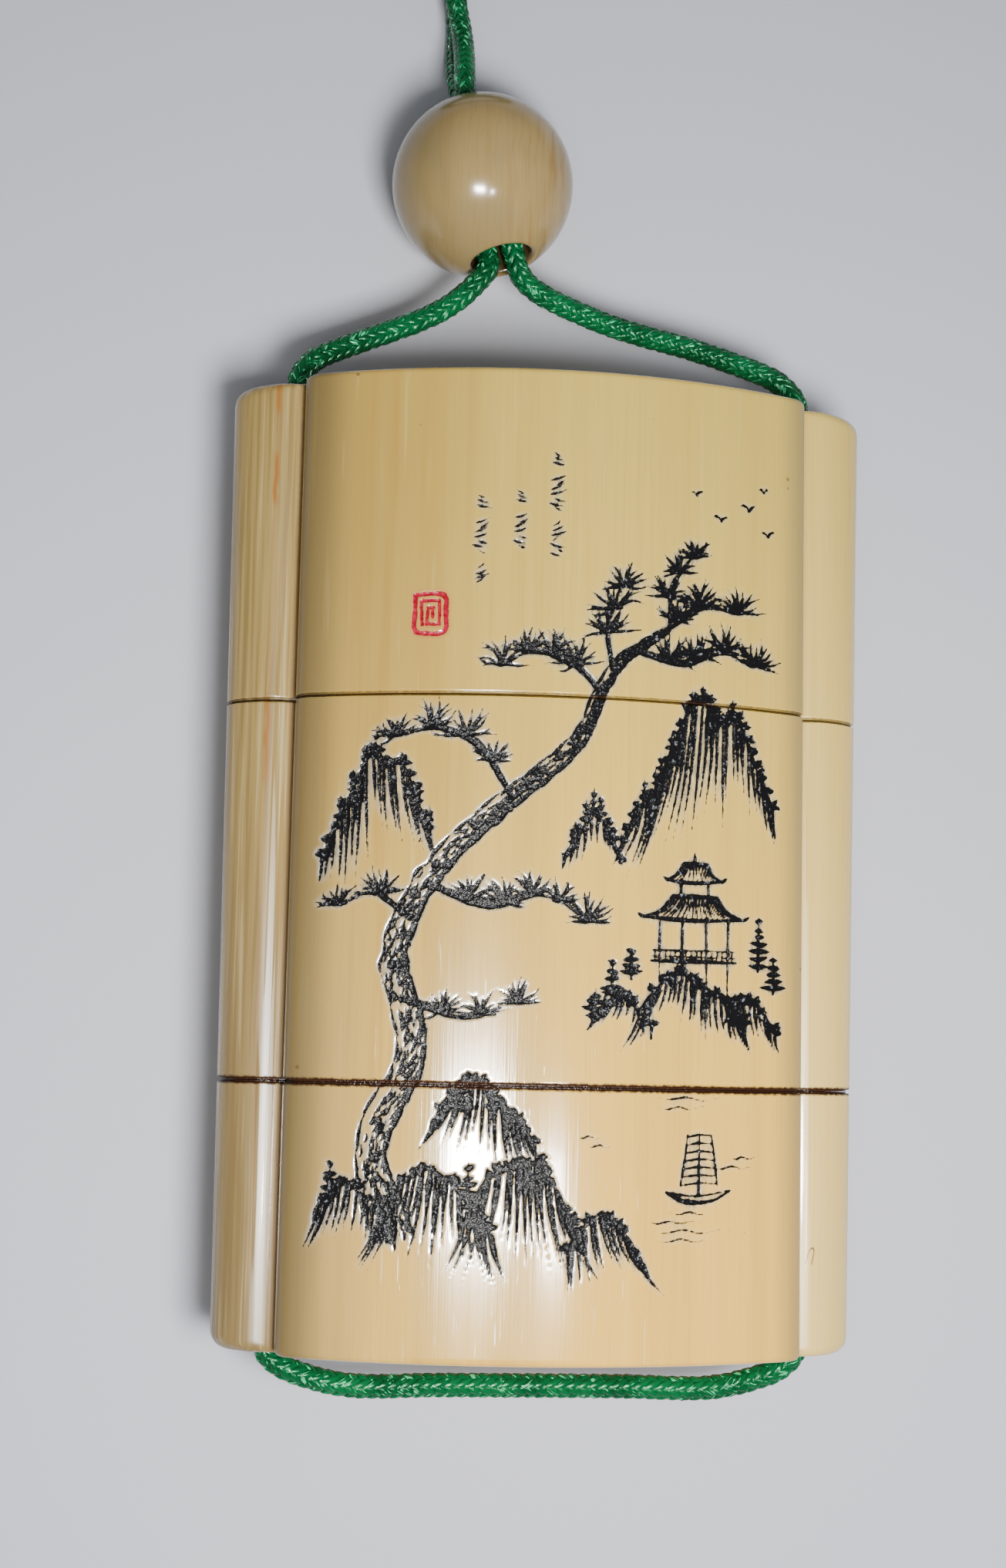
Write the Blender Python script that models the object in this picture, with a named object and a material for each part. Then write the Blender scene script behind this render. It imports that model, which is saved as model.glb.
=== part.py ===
"""An inro: a three-part sectional case of polished ivory colour, lying on its back.

The lid and the two cases slide on one cord that runs down a channel in each side
wing and loops under the case. Both ends of the loop leave the lid, pass through a
round bead and end in a small coil. Units are metres. +X runs across the case, +Y
along it towards the bead and +Z up from the table. The origin is on the table,
under the middle of the case.
"""

import math

import bmesh
import bpy
import numpy as np
from mathutils import Vector

MM = 0.001

# Outside of the case
CASE_WIDTH = 55.0 * MM
SIDE_FLARE = 0.4 * MM
LID_LENGTH = 27.7 * MM
UPPER_CASE_LENGTH = 31.75 * MM
LOWER_CASE_LENGTH = 22.05 * MM
SEAM_GAP = 0.3 * MM
CASE_THICKNESS = 23.0 * MM
PANEL_WIDTH = 43.6 * MM
PANEL_RISE = 5.2 * MM
PANEL_SHOULDER_RADIUS = 1.2 * MM
WING_THICKNESS = 7.8 * MM
REST_STRIP_WIDTH = 12.0 * MM
PANEL_END_RADIUS = 0.5 * MM
WING_END_RADIUS = 1.5 * MM

# Inside of the case
WALL = 3.0 * MM
COMPARTMENT_WIDTH = 36.8 * MM
COMPARTMENT_CORNER_RADIUS = 2.5 * MM
LID_TOP_THICKNESS = 3.0 * MM
UPPER_FLOOR_THICKNESS = 2.2 * MM
LOWER_FLOOR_THICKNESS = 3.0 * MM
RISER_THICKNESS = 1.3 * MM
RISER_HEIGHT = 5.0 * MM
RISER_CLEARANCE = 0.3 * MM

# Cord and its channels
CORD_DIAMETER = 2.1 * MM
CORD_CLEARANCE = 0.35 * MM
CORD_GAP = 0.3 * MM
CHANNEL_SPACING = 45.2 * MM
CHANNEL_MOUTH_FLARE = 0.8 * MM
CHANNEL_MOUTH_DEPTH = 1.4 * MM
LOOP_DROP = 3.1 * MM
LOOP_SAG = 1.0 * MM
LOOP_SHOULDER = 7.2 * MM
STRAND_POINT_SPACING = 1.5 * CORD_DIAMETER
LOOP_POINT_SPACING = 1.4 * CORD_DIAMETER
LOOP_START = 2.0 * MM

# Bead, and where it lies past the lid's end
BEAD_DIAMETER = 16.5 * MM
BEAD_BORE = 5.4 * MM
BEAD_RIM_RADIUS = 0.5 * MM
BEAD_SIDE_OFFSET = -6.3 * MM
BEAD_FROM_LID = 21.35 * MM
BEAD_TURN = math.radians(14.0)
BEAD_TILT = math.radians(7.0)

# Coil at the cord's far end
COIL_RADIUS = 12.0 * MM
COIL_LAYERS = 2
COIL_SIDE_OFFSET = -9.0 * MM
COIL_FROM_LID = 61.5 * MM

# Fineness of the round forms
ARC_STEPS = 7
STRIP_STEPS = 2
SHOULDER_STEPS = 3
WING_STEPS = 6
END_STEPS = 4
CHANNEL_SIDES = 16
BEAD_SIDES = 32
BEAD_ARC_STEPS = 14
COIL_SIDES = 36
CURVE_SAMPLES = 24

IVORY = (0.66, 0.50, 0.30)
BEAD_IVORY = (0.55, 0.41, 0.25)
CORD_GREEN = (0.01, 0.20, 0.07)

# Sizes that follow from the ones above
case_length = LID_LENGTH + UPPER_CASE_LENGTH + LOWER_CASE_LENGTH + 2 * SEAM_GAP
case_top = case_length / 2
case_bottom = -case_length / 2
lid_mouth = case_top - LID_LENGTH
upper_top = lid_mouth - SEAM_GAP
upper_bottom = upper_top - UPPER_CASE_LENGTH
lower_top = upper_bottom - SEAM_GAP

panel_half = PANEL_WIDTH / 2
arc_radius = (panel_half**2 + PANEL_RISE**2) / (2 * PANEL_RISE)
arc_centre = CASE_THICKNESS / 2 - arc_radius
strip_drop = arc_radius - math.sqrt(arc_radius**2 - (REST_STRIP_WIDTH / 2) ** 2)
mid_height = CASE_THICKNESS / 2 - strip_drop

cord_radius = CORD_DIAMETER / 2
channel_radius = cord_radius + CORD_CLEARANCE
channel_side = CHANNEL_SPACING / 2
recess_depth = RISER_HEIGHT + RISER_CLEARANCE


def remove_everything():
    for thing in list(bpy.data.objects):
        bpy.data.objects.remove(thing)


def material(name, colour, roughness):
    made = bpy.data.materials.new(name)
    made.use_nodes = True
    shader = made.node_tree.nodes["Principled BSDF"]
    shader.inputs["Base Color"].default_value = (*colour, 1.0)
    shader.inputs["Roughness"].default_value = roughness
    shader.inputs["Metallic"].default_value = 0.0
    return made


def add_object(name, bm, skin):
    """Makes a named object of a bmesh, with its faces pointing out."""
    bmesh.ops.recalc_face_normals(bm, faces=bm.faces)
    mesh = bpy.data.meshes.new(name)
    bm.to_mesh(mesh)
    bm.free()
    if skin is not None:
        mesh.materials.append(skin)
    thing = bpy.data.objects.new(name, mesh)
    bpy.context.scene.collection.objects.link(thing)
    return thing


def shade_round(thing, angle=35.0):
    thing.data.shade_smooth()
    thing.data.set_sharp_from_angle(angle=math.radians(angle))


def hide_cutter(thing):
    thing.hide_render = True
    thing.display_type = "WIRE"


def combine(thing, other, operation):
    hide_cutter(other)
    cut = thing.modifiers.new(other.name, "BOOLEAN")
    cut.operation = operation
    cut.solver = "EXACT"
    cut.object = other


def lens_quadrant(half_width, inset, corner_radius):
    """The front right quarter of a crowned panel, from its middle to its straight side."""
    radius = arc_radius - inset
    corner_x = half_width - corner_radius
    corner_z = arc_centre + math.sqrt((radius - corner_radius) ** 2 - corner_x**2)
    stretch = radius / (radius - corner_radius)
    arc_end = corner_x * stretch
    strip_edge = REST_STRIP_WIDTH / 2
    across = list(np.linspace(0, strip_edge, STRIP_STEPS + 1))
    across += list(np.linspace(strip_edge, arc_end, ARC_STEPS + 1))[1:]
    points = [(x, arc_centre + math.sqrt(radius**2 - x * x)) for x in across]
    start = math.atan2(corner_z - arc_centre, corner_x)
    for turn in np.linspace(start, 0, SHOULDER_STEPS + 1)[1:]:
        points.append((corner_x + corner_radius * math.cos(turn), corner_z + corner_radius * math.sin(turn)))
    return points


def all_quarters(quadrant):
    """Mirrors a quarter outline, from the middle of the front to the side, into a closed loop."""
    right_front = list(quadrant)
    on_side = abs(right_front[-1][1]) < 1e-9
    right_back = [(x, -z) for x, z in reversed(right_front)][1 if on_side else 0 :]
    right = right_front + right_back
    left = [(-x, z) for x, z in reversed(right)][1:-1]
    return np.array(right + left)


def lens_outline(half_width, inset, corner_radius):
    return all_quarters(lens_quadrant(half_width, inset, corner_radius))


def case_outline(half_width):
    """The cross-section: two crowned panels with a thinner rounded wing on each side."""
    quadrant = lens_quadrant(panel_half, 0.0, PANEL_SHOULDER_RADIUS)
    wing_width = half_width - panel_half
    for turn in np.linspace(math.pi / 2, 0, WING_STEPS + 1):
        x = panel_half + wing_width * math.cos(turn)
        quadrant.append((x, WING_THICKNESS / 2 * math.sin(turn) if turn > 0 else 0.0))
    loop = all_quarters(quadrant)
    loop[:, 1] = np.maximum(loop[:, 1], -mid_height)
    return loop


def inset_outline(loop, amounts):
    """Moves each point of a closed loop inwards by its own amount."""
    step = np.roll(loop, -1, axis=0) - np.roll(loop, 1, axis=0)
    normal = np.stack([-step[:, 1], step[:, 0]], axis=1)
    normal /= np.linalg.norm(normal, axis=1)[:, None]
    inwards = normal if np.sum(normal * loop) < 0 else -normal
    return loop + inwards * amounts[:, None]


def half_width_at(y):
    return CASE_WIDTH / 2 + SIDE_FLARE * y / case_top


def end_radii(loop):
    """How far each point of the outline is rounded over at a closed end of the case."""
    wing = np.clip((np.abs(loop[:, 0]) - panel_half) / (CASE_WIDTH / 2 - panel_half), 0, 1)
    return PANEL_END_RADIUS + (WING_END_RADIUS - PANEL_END_RADIUS) * wing


def case_ring(y, depth_from_end):
    """The outline at a height along the case, drawn in where it rounds over an end."""
    loop = case_outline(half_width_at(y))
    radii = end_radii(loop)
    left = np.clip(radii - depth_from_end, 0, None)
    amounts = radii - np.sqrt(radii**2 - left**2)
    loop = inset_outline(loop, amounts)
    return [(x, y, z + mid_height) for x, z in loop]


def prism_rings(loop, low, high):
    return [[(x, y, z + mid_height) for x, z in loop] for y in (low, high)]


def loft(name, rings, skin=None):
    """Joins rings of equally many points into one closed body with flat ends."""
    bm = bmesh.new()
    rows = [[bm.verts.new(point) for point in ring] for ring in rings]
    count = len(rows[0])
    for low, high in zip(rows, rows[1:]):
        for i in range(count):
            after = (i + 1) % count
            bm.faces.new((low[i], low[after], high[after], high[i]))
    bm.faces.new(rows[0])
    bm.faces.new(rows[-1])
    return add_object(name, bm, skin)


def case_block(name, low, high, round_low, round_high, skin):
    """One section of the case as a solid, its closed end rounded over."""
    steps = WING_END_RADIUS * (1 - np.cos(np.linspace(0, math.pi / 2, END_STEPS + 1)))
    rings = []
    if round_low:
        rings += [case_ring(low + depth, depth) for depth in steps]
    else:
        rings.append(case_ring(low, WING_END_RADIUS))
    if round_high:
        rings += [case_ring(high - depth, depth) for depth in steps[::-1]]
    else:
        rings.append(case_ring(high, WING_END_RADIUS))
    return loft(name, rings, skin)


def compartment_cutter(name, low, high):
    loop = lens_outline(COMPARTMENT_WIDTH / 2, WALL, COMPARTMENT_CORNER_RADIUS)
    return loft(name, prism_rings(loop, low, high))


def riser_block(name, low, high, clearance):
    """The collar's outer form, or the recess that takes it when there is a clearance."""
    grow = RISER_THICKNESS + clearance
    loop = lens_outline(COMPARTMENT_WIDTH / 2 + grow, WALL - grow, COMPARTMENT_CORNER_RADIUS + grow)
    return loft(name, prism_rings(loop, low, high))


def channel_cutter(name, side, low, high, flare_low, flare_high):
    """A round bore along one wing, opened out where the cord turns at a mouth."""
    past = SEAM_GAP
    wide = channel_radius + CHANNEL_MOUTH_FLARE
    stations = [(low - past, wide if flare_low else channel_radius)]
    if flare_low:
        stations += [(low, wide), (low + CHANNEL_MOUTH_DEPTH, channel_radius)]
    if flare_high:
        stations += [(high - CHANNEL_MOUTH_DEPTH, channel_radius), (high, wide)]
    stations.append((high + past, wide if flare_high else channel_radius))
    rings = []
    for y, radius in stations:
        ring = []
        for k in range(CHANNEL_SIDES):
            turn = 2 * math.pi * (k + 0.5) / CHANNEL_SIDES
            ring.append((side * channel_side + radius * math.cos(turn), y, mid_height + radius * math.sin(turn)))
        rings.append(ring)
    return loft(name, rings)


def cut_channels(block, low, high, flare_low=False, flare_high=False):
    for side, word in ((-1, "left"), (1, "right")):
        name = f"{block.name}_{word}_channel"
        combine(block, channel_cutter(name, side, low, high, flare_low, flare_high), "DIFFERENCE")


def make_lid(skin):
    lid = case_block("lid", lid_mouth, case_top, False, True, skin)
    past = SEAM_GAP
    recess = riser_block("lid_recess", lid_mouth - past, lid_mouth + recess_depth, RISER_CLEARANCE)
    combine(lid, recess, "DIFFERENCE")
    inside = compartment_cutter("lid_inside", lid_mouth - past, case_top - LID_TOP_THICKNESS)
    combine(lid, inside, "DIFFERENCE")
    cut_channels(lid, lid_mouth, case_top, flare_high=True)
    shade_round(lid)


def make_upper_case(skin):
    case = case_block("upper_case", upper_bottom, upper_top, False, False, skin)
    riser_top = upper_top + RISER_HEIGHT
    floor = upper_bottom + recess_depth + UPPER_FLOOR_THICKNESS
    combine(case, riser_block("upper_riser", floor, riser_top, 0.0), "UNION")
    past = SEAM_GAP
    recess = riser_block("upper_recess", upper_bottom - past, upper_bottom + recess_depth, RISER_CLEARANCE)
    combine(case, recess, "DIFFERENCE")
    combine(case, compartment_cutter("upper_inside", floor, riser_top + past), "DIFFERENCE")
    cut_channels(case, upper_bottom, upper_top)
    shade_round(case)


def make_lower_case(skin):
    case = case_block("lower_case", case_bottom, lower_top, True, False, skin)
    riser_top = lower_top + RISER_HEIGHT
    floor = case_bottom + LOWER_FLOOR_THICKNESS
    combine(case, riser_block("lower_riser", floor, riser_top, 0.0), "UNION")
    combine(case, compartment_cutter("lower_inside", floor, riser_top + SEAM_GAP), "DIFFERENCE")
    cut_channels(case, case_bottom, lower_top, flare_low=True)
    shade_round(case)


def smooth_route(points, spacing):
    """Evenly spaced points on one smooth curve through the chosen ones."""
    chosen = np.array(points, float)
    ends = np.vstack([2 * chosen[0] - chosen[1], chosen, 2 * chosen[-1] - chosen[-2]])
    knots = np.concatenate([[0], np.cumsum(np.sqrt(np.linalg.norm(np.diff(ends, axis=0), axis=1)))])
    curve = []
    for i in range(1, len(ends) - 2):
        t0, t1, t2, t3 = knots[i - 1 : i + 3]
        for t in np.linspace(t1, t2, CURVE_SAMPLES, endpoint=False):
            a = ends[i - 1] * (t1 - t) / (t1 - t0) + ends[i] * (t - t0) / (t1 - t0)
            b = ends[i] * (t2 - t) / (t2 - t1) + ends[i + 1] * (t - t1) / (t2 - t1)
            c = ends[i + 1] * (t3 - t) / (t3 - t2) + ends[i + 2] * (t - t2) / (t3 - t2)
            early = a * (t2 - t) / (t2 - t0) + b * (t - t0) / (t2 - t0)
            late = b * (t3 - t) / (t3 - t1) + c * (t - t1) / (t3 - t1)
            curve.append(early * (t2 - t) / (t2 - t1) + late * (t - t1) / (t2 - t1))
    curve = np.array(curve + [ends[-2]])
    along = np.concatenate([[0], np.cumsum(np.linalg.norm(np.diff(curve, axis=0), axis=1))])
    stations = np.linspace(0, along[-1], max(2, round(along[-1] / spacing)) + 1)
    return np.stack([np.interp(stations, along, curve[:, k]) for k in range(3)], axis=1)


def cord_tube(name, points, skin):
    """A plain round tube along a route."""
    curve = bpy.data.curves.new(name, "CURVE")
    curve.dimensions = "3D"
    curve.bevel_depth = cord_radius
    curve.bevel_resolution = 2
    curve.use_fill_caps = True
    line = curve.splines.new("POLY")
    line.points.add(len(points) - 1)
    for knot, point in zip(line.points, points):
        knot.co = (*point, 1.0)
        knot.radius = 1.0
    curve.materials.append(skin)
    tube = bpy.data.objects.new(name, curve)
    bpy.context.scene.collection.objects.link(tube)


def past_lid(x, beyond, height):
    """A place given in millimetres across the case, past the lid's end and above the table."""
    return (x * MM, case_top + beyond * MM, height * MM)


bead_centre = Vector((BEAD_SIDE_OFFSET, case_top + BEAD_FROM_LID, BEAD_DIAMETER / 2))
bead_axis = Vector(
    (
        math.sin(BEAD_TURN) * math.cos(BEAD_TILT),
        -math.cos(BEAD_TURN) * math.cos(BEAD_TILT),
        math.sin(BEAD_TILT),
    )
)
coil_centre = Vector((COIL_SIDE_OFFSET, case_top + COIL_FROM_LID, 0.0))


def strand_in_bead(side):
    """Places of one strand in the bead's bore: beside the other at the case's end, over or
    under it at the far end."""
    level = Vector((math.cos(BEAD_TURN), math.sin(BEAD_TURN), 0.0))
    upward = bead_axis.cross(level)
    apart = cord_radius + CORD_GAP / 2
    reach = math.sqrt((BEAD_DIAMETER / 2) ** 2 - (BEAD_BORE / 2) ** 2)
    places = []
    for share in (0.75, 0.4, 0.0, -0.5, -0.9):
        twist = (1 - share) * math.pi / 4
        offset = level * math.cos(twist) + upward * math.sin(twist)
        places.append(bead_centre + bead_axis * (reach * share) + offset * (apart * side))
    return places


def cord_under_case():
    """The cord's route inside the case: down the left channel, under the case and up the right."""
    loop_low = case_bottom - LOOP_DROP
    left = [
        (-channel_side, case_bottom + LOOP_START, mid_height),
        (-channel_side, case_bottom, mid_height),
        (-channel_side + 0.17 * LOOP_SHOULDER, case_bottom - 0.43 * LOOP_DROP, mid_height),
        (-channel_side + 0.49 * LOOP_SHOULDER, case_bottom - 0.74 * LOOP_DROP, mid_height - 0.2 * LOOP_SAG),
        (-channel_side + LOOP_SHOULDER, loop_low, mid_height - 0.5 * LOOP_SAG),
        (-channel_side / 3, loop_low, mid_height - 0.9 * LOOP_SAG),
    ]
    right = [(-x, y, z) for x, y, z in reversed(left)]
    loop = smooth_route(left + right, LOOP_POINT_SPACING)
    down = [(-channel_side, y, mid_height) for y in (case_top - 2 * CORD_GAP, upper_top, lower_top)]
    up = [(-x, y, z) for x, y, z in reversed(down)]
    return [*down, *loop, *up]


# The left strand lies under the right one past the bead, and swings round the coil's outside.
LEFT_STRAND = [
    past_lid(-22.45, 1.2, 11.0),
    past_lid(-22.0, 2.3, 10.8),
    past_lid(-21.3, 3.2, 10.5),
    past_lid(-20.4, 3.9, 10.2),
    past_lid(-17.8, 5.35, 9.4),
    past_lid(-13.9, 7.15, 8.9),
    past_lid(-11.3, 8.35, 8.8),
    past_lid(-9.3, 9.5, 8.9),
    past_lid(-7.75, 10.75, 9.05),
    past_lid(-6.5, 12.1, 9.2),
    past_lid(-5.65, 13.4, 9.2),
    *strand_in_bead(-1),
    past_lid(-8.3, 30.6, 5.75),
    past_lid(-8.5, 32.4, 4.6),
    past_lid(-8.55, 34.3, 3.1),
    past_lid(-8.5, 36.3, 1.8),
    past_lid(-8.4, 38.6, 1.1),
    past_lid(-8.5, 41.0, 1.05),
    past_lid(-8.5, 43.2, 1.05),
    past_lid(-7.8, 44.9, 1.05),
    past_lid(-6.5, 46.2, 1.05),
    past_lid(-4.8, 47.1, 1.05),
    past_lid(-1.5, 48.6, 1.05),
    past_lid(1.3, 51.1, 1.05),
]

RIGHT_STRAND = [
    past_lid(-20.3, 52.5, 1.3),
    past_lid(-18.9, 49.9, 1.05),
    past_lid(-16.8, 47.9, 1.05),
    past_lid(-14.2, 46.9, 1.25),
    past_lid(-11.8, 46.1, 2.1),
    past_lid(-10.1, 44.6, 3.0),
    past_lid(-9.1, 42.4, 3.45),
    past_lid(-8.5, 39.6, 3.6),
    past_lid(-8.2, 37.6, 4.2),
    past_lid(-8.1, 35.6, 5.35),
    past_lid(-8.1, 33.6, 6.75),
    past_lid(-8.15, 31.5, 8.0),
    *reversed(strand_in_bead(1)),
    past_lid(-3.2, 14.0, 9.2),
    past_lid(-2.75, 12.8, 9.2),
    past_lid(-1.9, 11.8, 9.2),
    past_lid(-0.7, 11.05, 9.1),
    past_lid(0.7, 10.4, 9.0),
    past_lid(2.5, 9.75, 8.8),
    past_lid(5.2, 8.8, 8.7),
    past_lid(8.7, 7.9, 8.6),
    past_lid(12.7, 6.9, 8.9),
    past_lid(16.3, 5.7, 9.4),
    past_lid(19.3, 4.5, 10.0),
    past_lid(20.5, 3.9, 10.2),
    past_lid(21.3, 3.2, 10.5),
    past_lid(22.0, 2.3, 10.8),
    past_lid(22.45, 1.2, 11.0),
]


def make_cord(skin):
    cord_tube("cord_through_case", cord_under_case(), skin)
    left = [(-channel_side, case_top, mid_height), *LEFT_STRAND]
    right = [*RIGHT_STRAND, (channel_side, case_top, mid_height)]
    cord_tube("cord_strand_left", smooth_route(left, STRAND_POINT_SPACING), skin)
    cord_tube("cord_strand_right", smooth_route(right, STRAND_POINT_SPACING), skin)


def make_coil(skin):
    """The outer form of the coiled cord: a flat ring turned about its middle."""
    half = cord_radius + CORD_GAP / 2
    high = COIL_LAYERS * CORD_DIAMETER
    edge = cord_radius * 0.6
    profile = [
        (-half, edge),
        (-half + edge, 0),
        (half - edge, 0),
        (half, edge),
        (half, high - edge),
        (half - edge, high),
        (-half + edge, high),
        (-half, high - edge),
    ]
    bm = bmesh.new()
    corners = [bm.verts.new((COIL_RADIUS + across, 0, up)) for across, up in profile]
    edges = [bm.edges.new((a, b)) for a, b in zip(corners, corners[1:] + corners[:1])]
    bmesh.ops.spin(
        bm,
        geom=corners + edges,
        cent=(0, 0, 0),
        axis=(0, 0, 1),
        angle=2 * math.pi,
        steps=COIL_SIDES,
        use_merge=True,
    )
    bmesh.ops.remove_doubles(bm, verts=bm.verts, dist=0.01 * MM)
    coil = add_object("cord_coil", bm, skin)
    coil.location = coil_centre
    shade_round(coil, 50.0)


def make_bead(skin):
    """A turned round bead with its bore's rims rounded over."""
    radius = BEAD_DIAMETER / 2
    bore = BEAD_BORE / 2
    rim_at = bore + BEAD_RIM_RADIUS
    rim_height = math.sqrt((radius - BEAD_RIM_RADIUS) ** 2 - rim_at**2)
    rim_turn = math.atan2(rim_height, rim_at)
    half = []
    for turn in np.linspace(math.pi, rim_turn, 4):
        x = rim_at + BEAD_RIM_RADIUS * math.cos(turn)
        half.append((x, rim_height + BEAD_RIM_RADIUS * math.sin(turn)))
    for turn in np.linspace(rim_turn, 0, BEAD_ARC_STEPS // 2 + 1)[1:]:
        half.append((radius * math.cos(turn), radius * math.sin(turn)))
    profile = half + [(x, -z) for x, z in reversed(half[:-1])]
    bm = bmesh.new()
    corners = [bm.verts.new((x, 0, z)) for x, z in profile]
    edges = [bm.edges.new((a, b)) for a, b in zip(corners, corners[1:] + corners[:1])]
    bmesh.ops.spin(
        bm,
        geom=corners + edges,
        cent=(0, 0, 0),
        axis=(0, 0, 1),
        angle=2 * math.pi,
        steps=BEAD_SIDES,
        use_merge=True,
    )
    bmesh.ops.remove_doubles(bm, verts=bm.verts, dist=0.01 * MM)
    bead = add_object("sliding_bead", bm, skin)
    bead.location = bead_centre
    bead.rotation_mode = "QUATERNION"
    bead.rotation_quaternion = bead_axis.to_track_quat("Z", "Y")
    shade_round(bead, 50.0)


remove_everything()
ivory = material("ivory", IVORY, 0.3)
bead_ivory = material("bead_ivory", BEAD_IVORY, 0.25)
green_cord = material("green_cord", CORD_GREEN, 0.45)
make_lid(ivory)
make_upper_case(ivory)
make_lower_case(ivory)
make_bead(bead_ivory)
make_cord(green_cord)
make_coil(green_cord)
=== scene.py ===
import math

import bmesh
import bpy
import numpy as np
from mathutils import Euler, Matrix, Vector
from mathutils.geometry import tessellate_polygon


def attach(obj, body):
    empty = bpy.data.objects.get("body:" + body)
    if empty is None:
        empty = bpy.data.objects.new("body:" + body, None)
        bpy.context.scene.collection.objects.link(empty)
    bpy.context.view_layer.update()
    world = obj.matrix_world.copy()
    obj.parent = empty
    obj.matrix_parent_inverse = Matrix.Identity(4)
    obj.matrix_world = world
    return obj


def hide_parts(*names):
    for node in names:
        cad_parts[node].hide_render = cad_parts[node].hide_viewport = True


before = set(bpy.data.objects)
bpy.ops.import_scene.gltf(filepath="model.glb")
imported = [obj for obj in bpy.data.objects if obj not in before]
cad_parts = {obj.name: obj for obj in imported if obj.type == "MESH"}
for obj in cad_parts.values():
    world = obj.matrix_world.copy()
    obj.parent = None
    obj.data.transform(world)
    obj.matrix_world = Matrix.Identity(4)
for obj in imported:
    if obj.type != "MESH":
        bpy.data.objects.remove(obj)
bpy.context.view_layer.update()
MM = 0.001

# The camera stands over the case as it lies on its back, a little towards the lower
# case and the left wing, and sees the loop of cord below and the bead above.
PHOTO_HEIGHT = 2034
CAMERA_FOCAL = 2885.4
CAMERA_TILT = (0.1203, -0.1078, 0.0219)
CAMERA_PLACE = (-23.72 * MM, -16.62 * MM, 202.47 * MM)
SENSOR_SIZE = 36.0


def placed(name, data):
    """A new object of the scene that holds the given data."""
    thing = bpy.data.objects.new(name, data)
    bpy.context.scene.collection.objects.link(thing)
    return thing


camera_data = bpy.data.cameras.new("camera")
camera_data.sensor_width = SENSOR_SIZE
camera_data.lens = CAMERA_FOCAL / PHOTO_HEIGHT * SENSOR_SIZE
camera_data.clip_start = 10 * MM
camera = placed("camera", camera_data)
camera.location = CAMERA_PLACE
camera.rotation_euler = Euler(CAMERA_TILT, "XYZ")
bpy.context.scene.camera = camera


# The case is turned and carved from cream ivory in three sections that slot together: a
# lid, an upper case and a lower case. Each has crowned panels front and back, a thinner
# rounded wing on each side with a bore for the cord, and all but the lid a thin collar.
CASE_WIDTH = 55.0 * MM
SIDE_FLARE = 0.4 * MM
LID_LENGTH = 27.7 * MM
UPPER_CASE_LENGTH = 31.75 * MM
LOWER_CASE_LENGTH = 22.05 * MM
SEAM_GAP = 0.3 * MM
CASE_THICKNESS = 23.0 * MM
PANEL_HALF = 21.8 * MM
PANEL_RISE = 5.2 * MM
PANEL_SHOULDER_RADIUS = 2.0 * MM
WING_HALF_THICKNESS = 3.9 * MM
WING_DIP = 0.5 * MM
WING_DIP_REACH = 2.6 * MM
REST_STRIP_HALF = 6.0 * MM
PANEL_END_RADIUS = 0.5 * MM
WING_END_RADIUS = 1.5 * MM
SEAM_EDGE_RADIUS = 0.12 * MM
SEAM_LAND = 0.12 * MM
SEAM_LAND_INSET = 0.3 * MM
WALL = 3.0 * MM
COMPARTMENT_HALF = 18.4 * MM
COMPARTMENT_CORNER_RADIUS = 2.5 * MM
LID_TOP_THICKNESS = 3.0 * MM
UPPER_FLOOR_THICKNESS = 2.2 * MM
LOWER_FLOOR_THICKNESS = 3.0 * MM
RISER_THICKNESS = 1.3 * MM
RISER_HEIGHT = 5.0 * MM
RISER_CLEARANCE = 0.3 * MM
CHANNEL_SIDE = 22.6 * MM
CHANNEL_RADIUS = 1.4 * MM
CHANNEL_MOUTH_FLARE = 0.8 * MM
CHANNEL_MOUTH_DEPTH = 1.4 * MM
CHANNEL_MOUTH_STEPS = 5
CHANNEL_SIDES = 24
ENGRAVED_HALF = 20.0 * MM
ENGRAVED_FROM = 5.0 * MM
ENGRAVING_GRID = 0.136 * MM
SHOULDER_STEPS = 6
FRONT_WING_STEPS = 9
BACK_WING_STEPS = 5
END_STEPS = 10
SEAM_STEPS = 3
SHARP_ANGLE = math.radians(50)
SLIVER = 0.05 * MM

case_length = LID_LENGTH + UPPER_CASE_LENGTH + LOWER_CASE_LENGTH + 2 * SEAM_GAP
case_top = case_length / 2
case_bottom = -case_length / 2
lid_mouth = case_top - LID_LENGTH
upper_top = lid_mouth - SEAM_GAP
upper_bottom = upper_top - UPPER_CASE_LENGTH
lower_top = upper_bottom - SEAM_GAP
crown_radius = (PANEL_HALF**2 + PANEL_RISE**2) / (2 * PANEL_RISE)
crown_centre = CASE_THICKNESS / 2 - crown_radius
mid_height = crown_centre + math.sqrt(crown_radius**2 - REST_STRIP_HALF**2)
recess_depth = RISER_HEIGHT + RISER_CLEARANCE


def panel_quarter(half_width, inset, corner_radius, across):
    """A quarter of a crowned panel's edge: the crown at the given places, then the shoulder."""
    radius = crown_radius - inset
    corner_x = half_width - corner_radius
    corner_z = crown_centre + math.sqrt((radius - corner_radius) ** 2 - corner_x**2)
    crown_end = corner_x * radius / (radius - corner_radius)
    places = [x for x in across if x < crown_end - SLIVER] + [crown_end]
    points = [(x, crown_centre + math.sqrt(radius**2 - x * x)) for x in places]
    start = math.atan2(corner_z - crown_centre, corner_x)
    for turn in np.linspace(start, 0, SHOULDER_STEPS + 1)[1:]:
        out, up = corner_radius * math.cos(turn), corner_radius * math.sin(turn)
        points.append((corner_x + out, corner_z + up))
    return points


def closed_loop(front, back):
    """Joins a front and a back quarter, both from the middle to the side, and their mirrors."""
    lower = [(x, -z) for x, z in reversed(back)]
    right = front + (lower[1:] if front[-1] == back[-1] else lower)
    return np.array(right + [(-x, z) for x, z in reversed(right)][1:-1])


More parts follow.
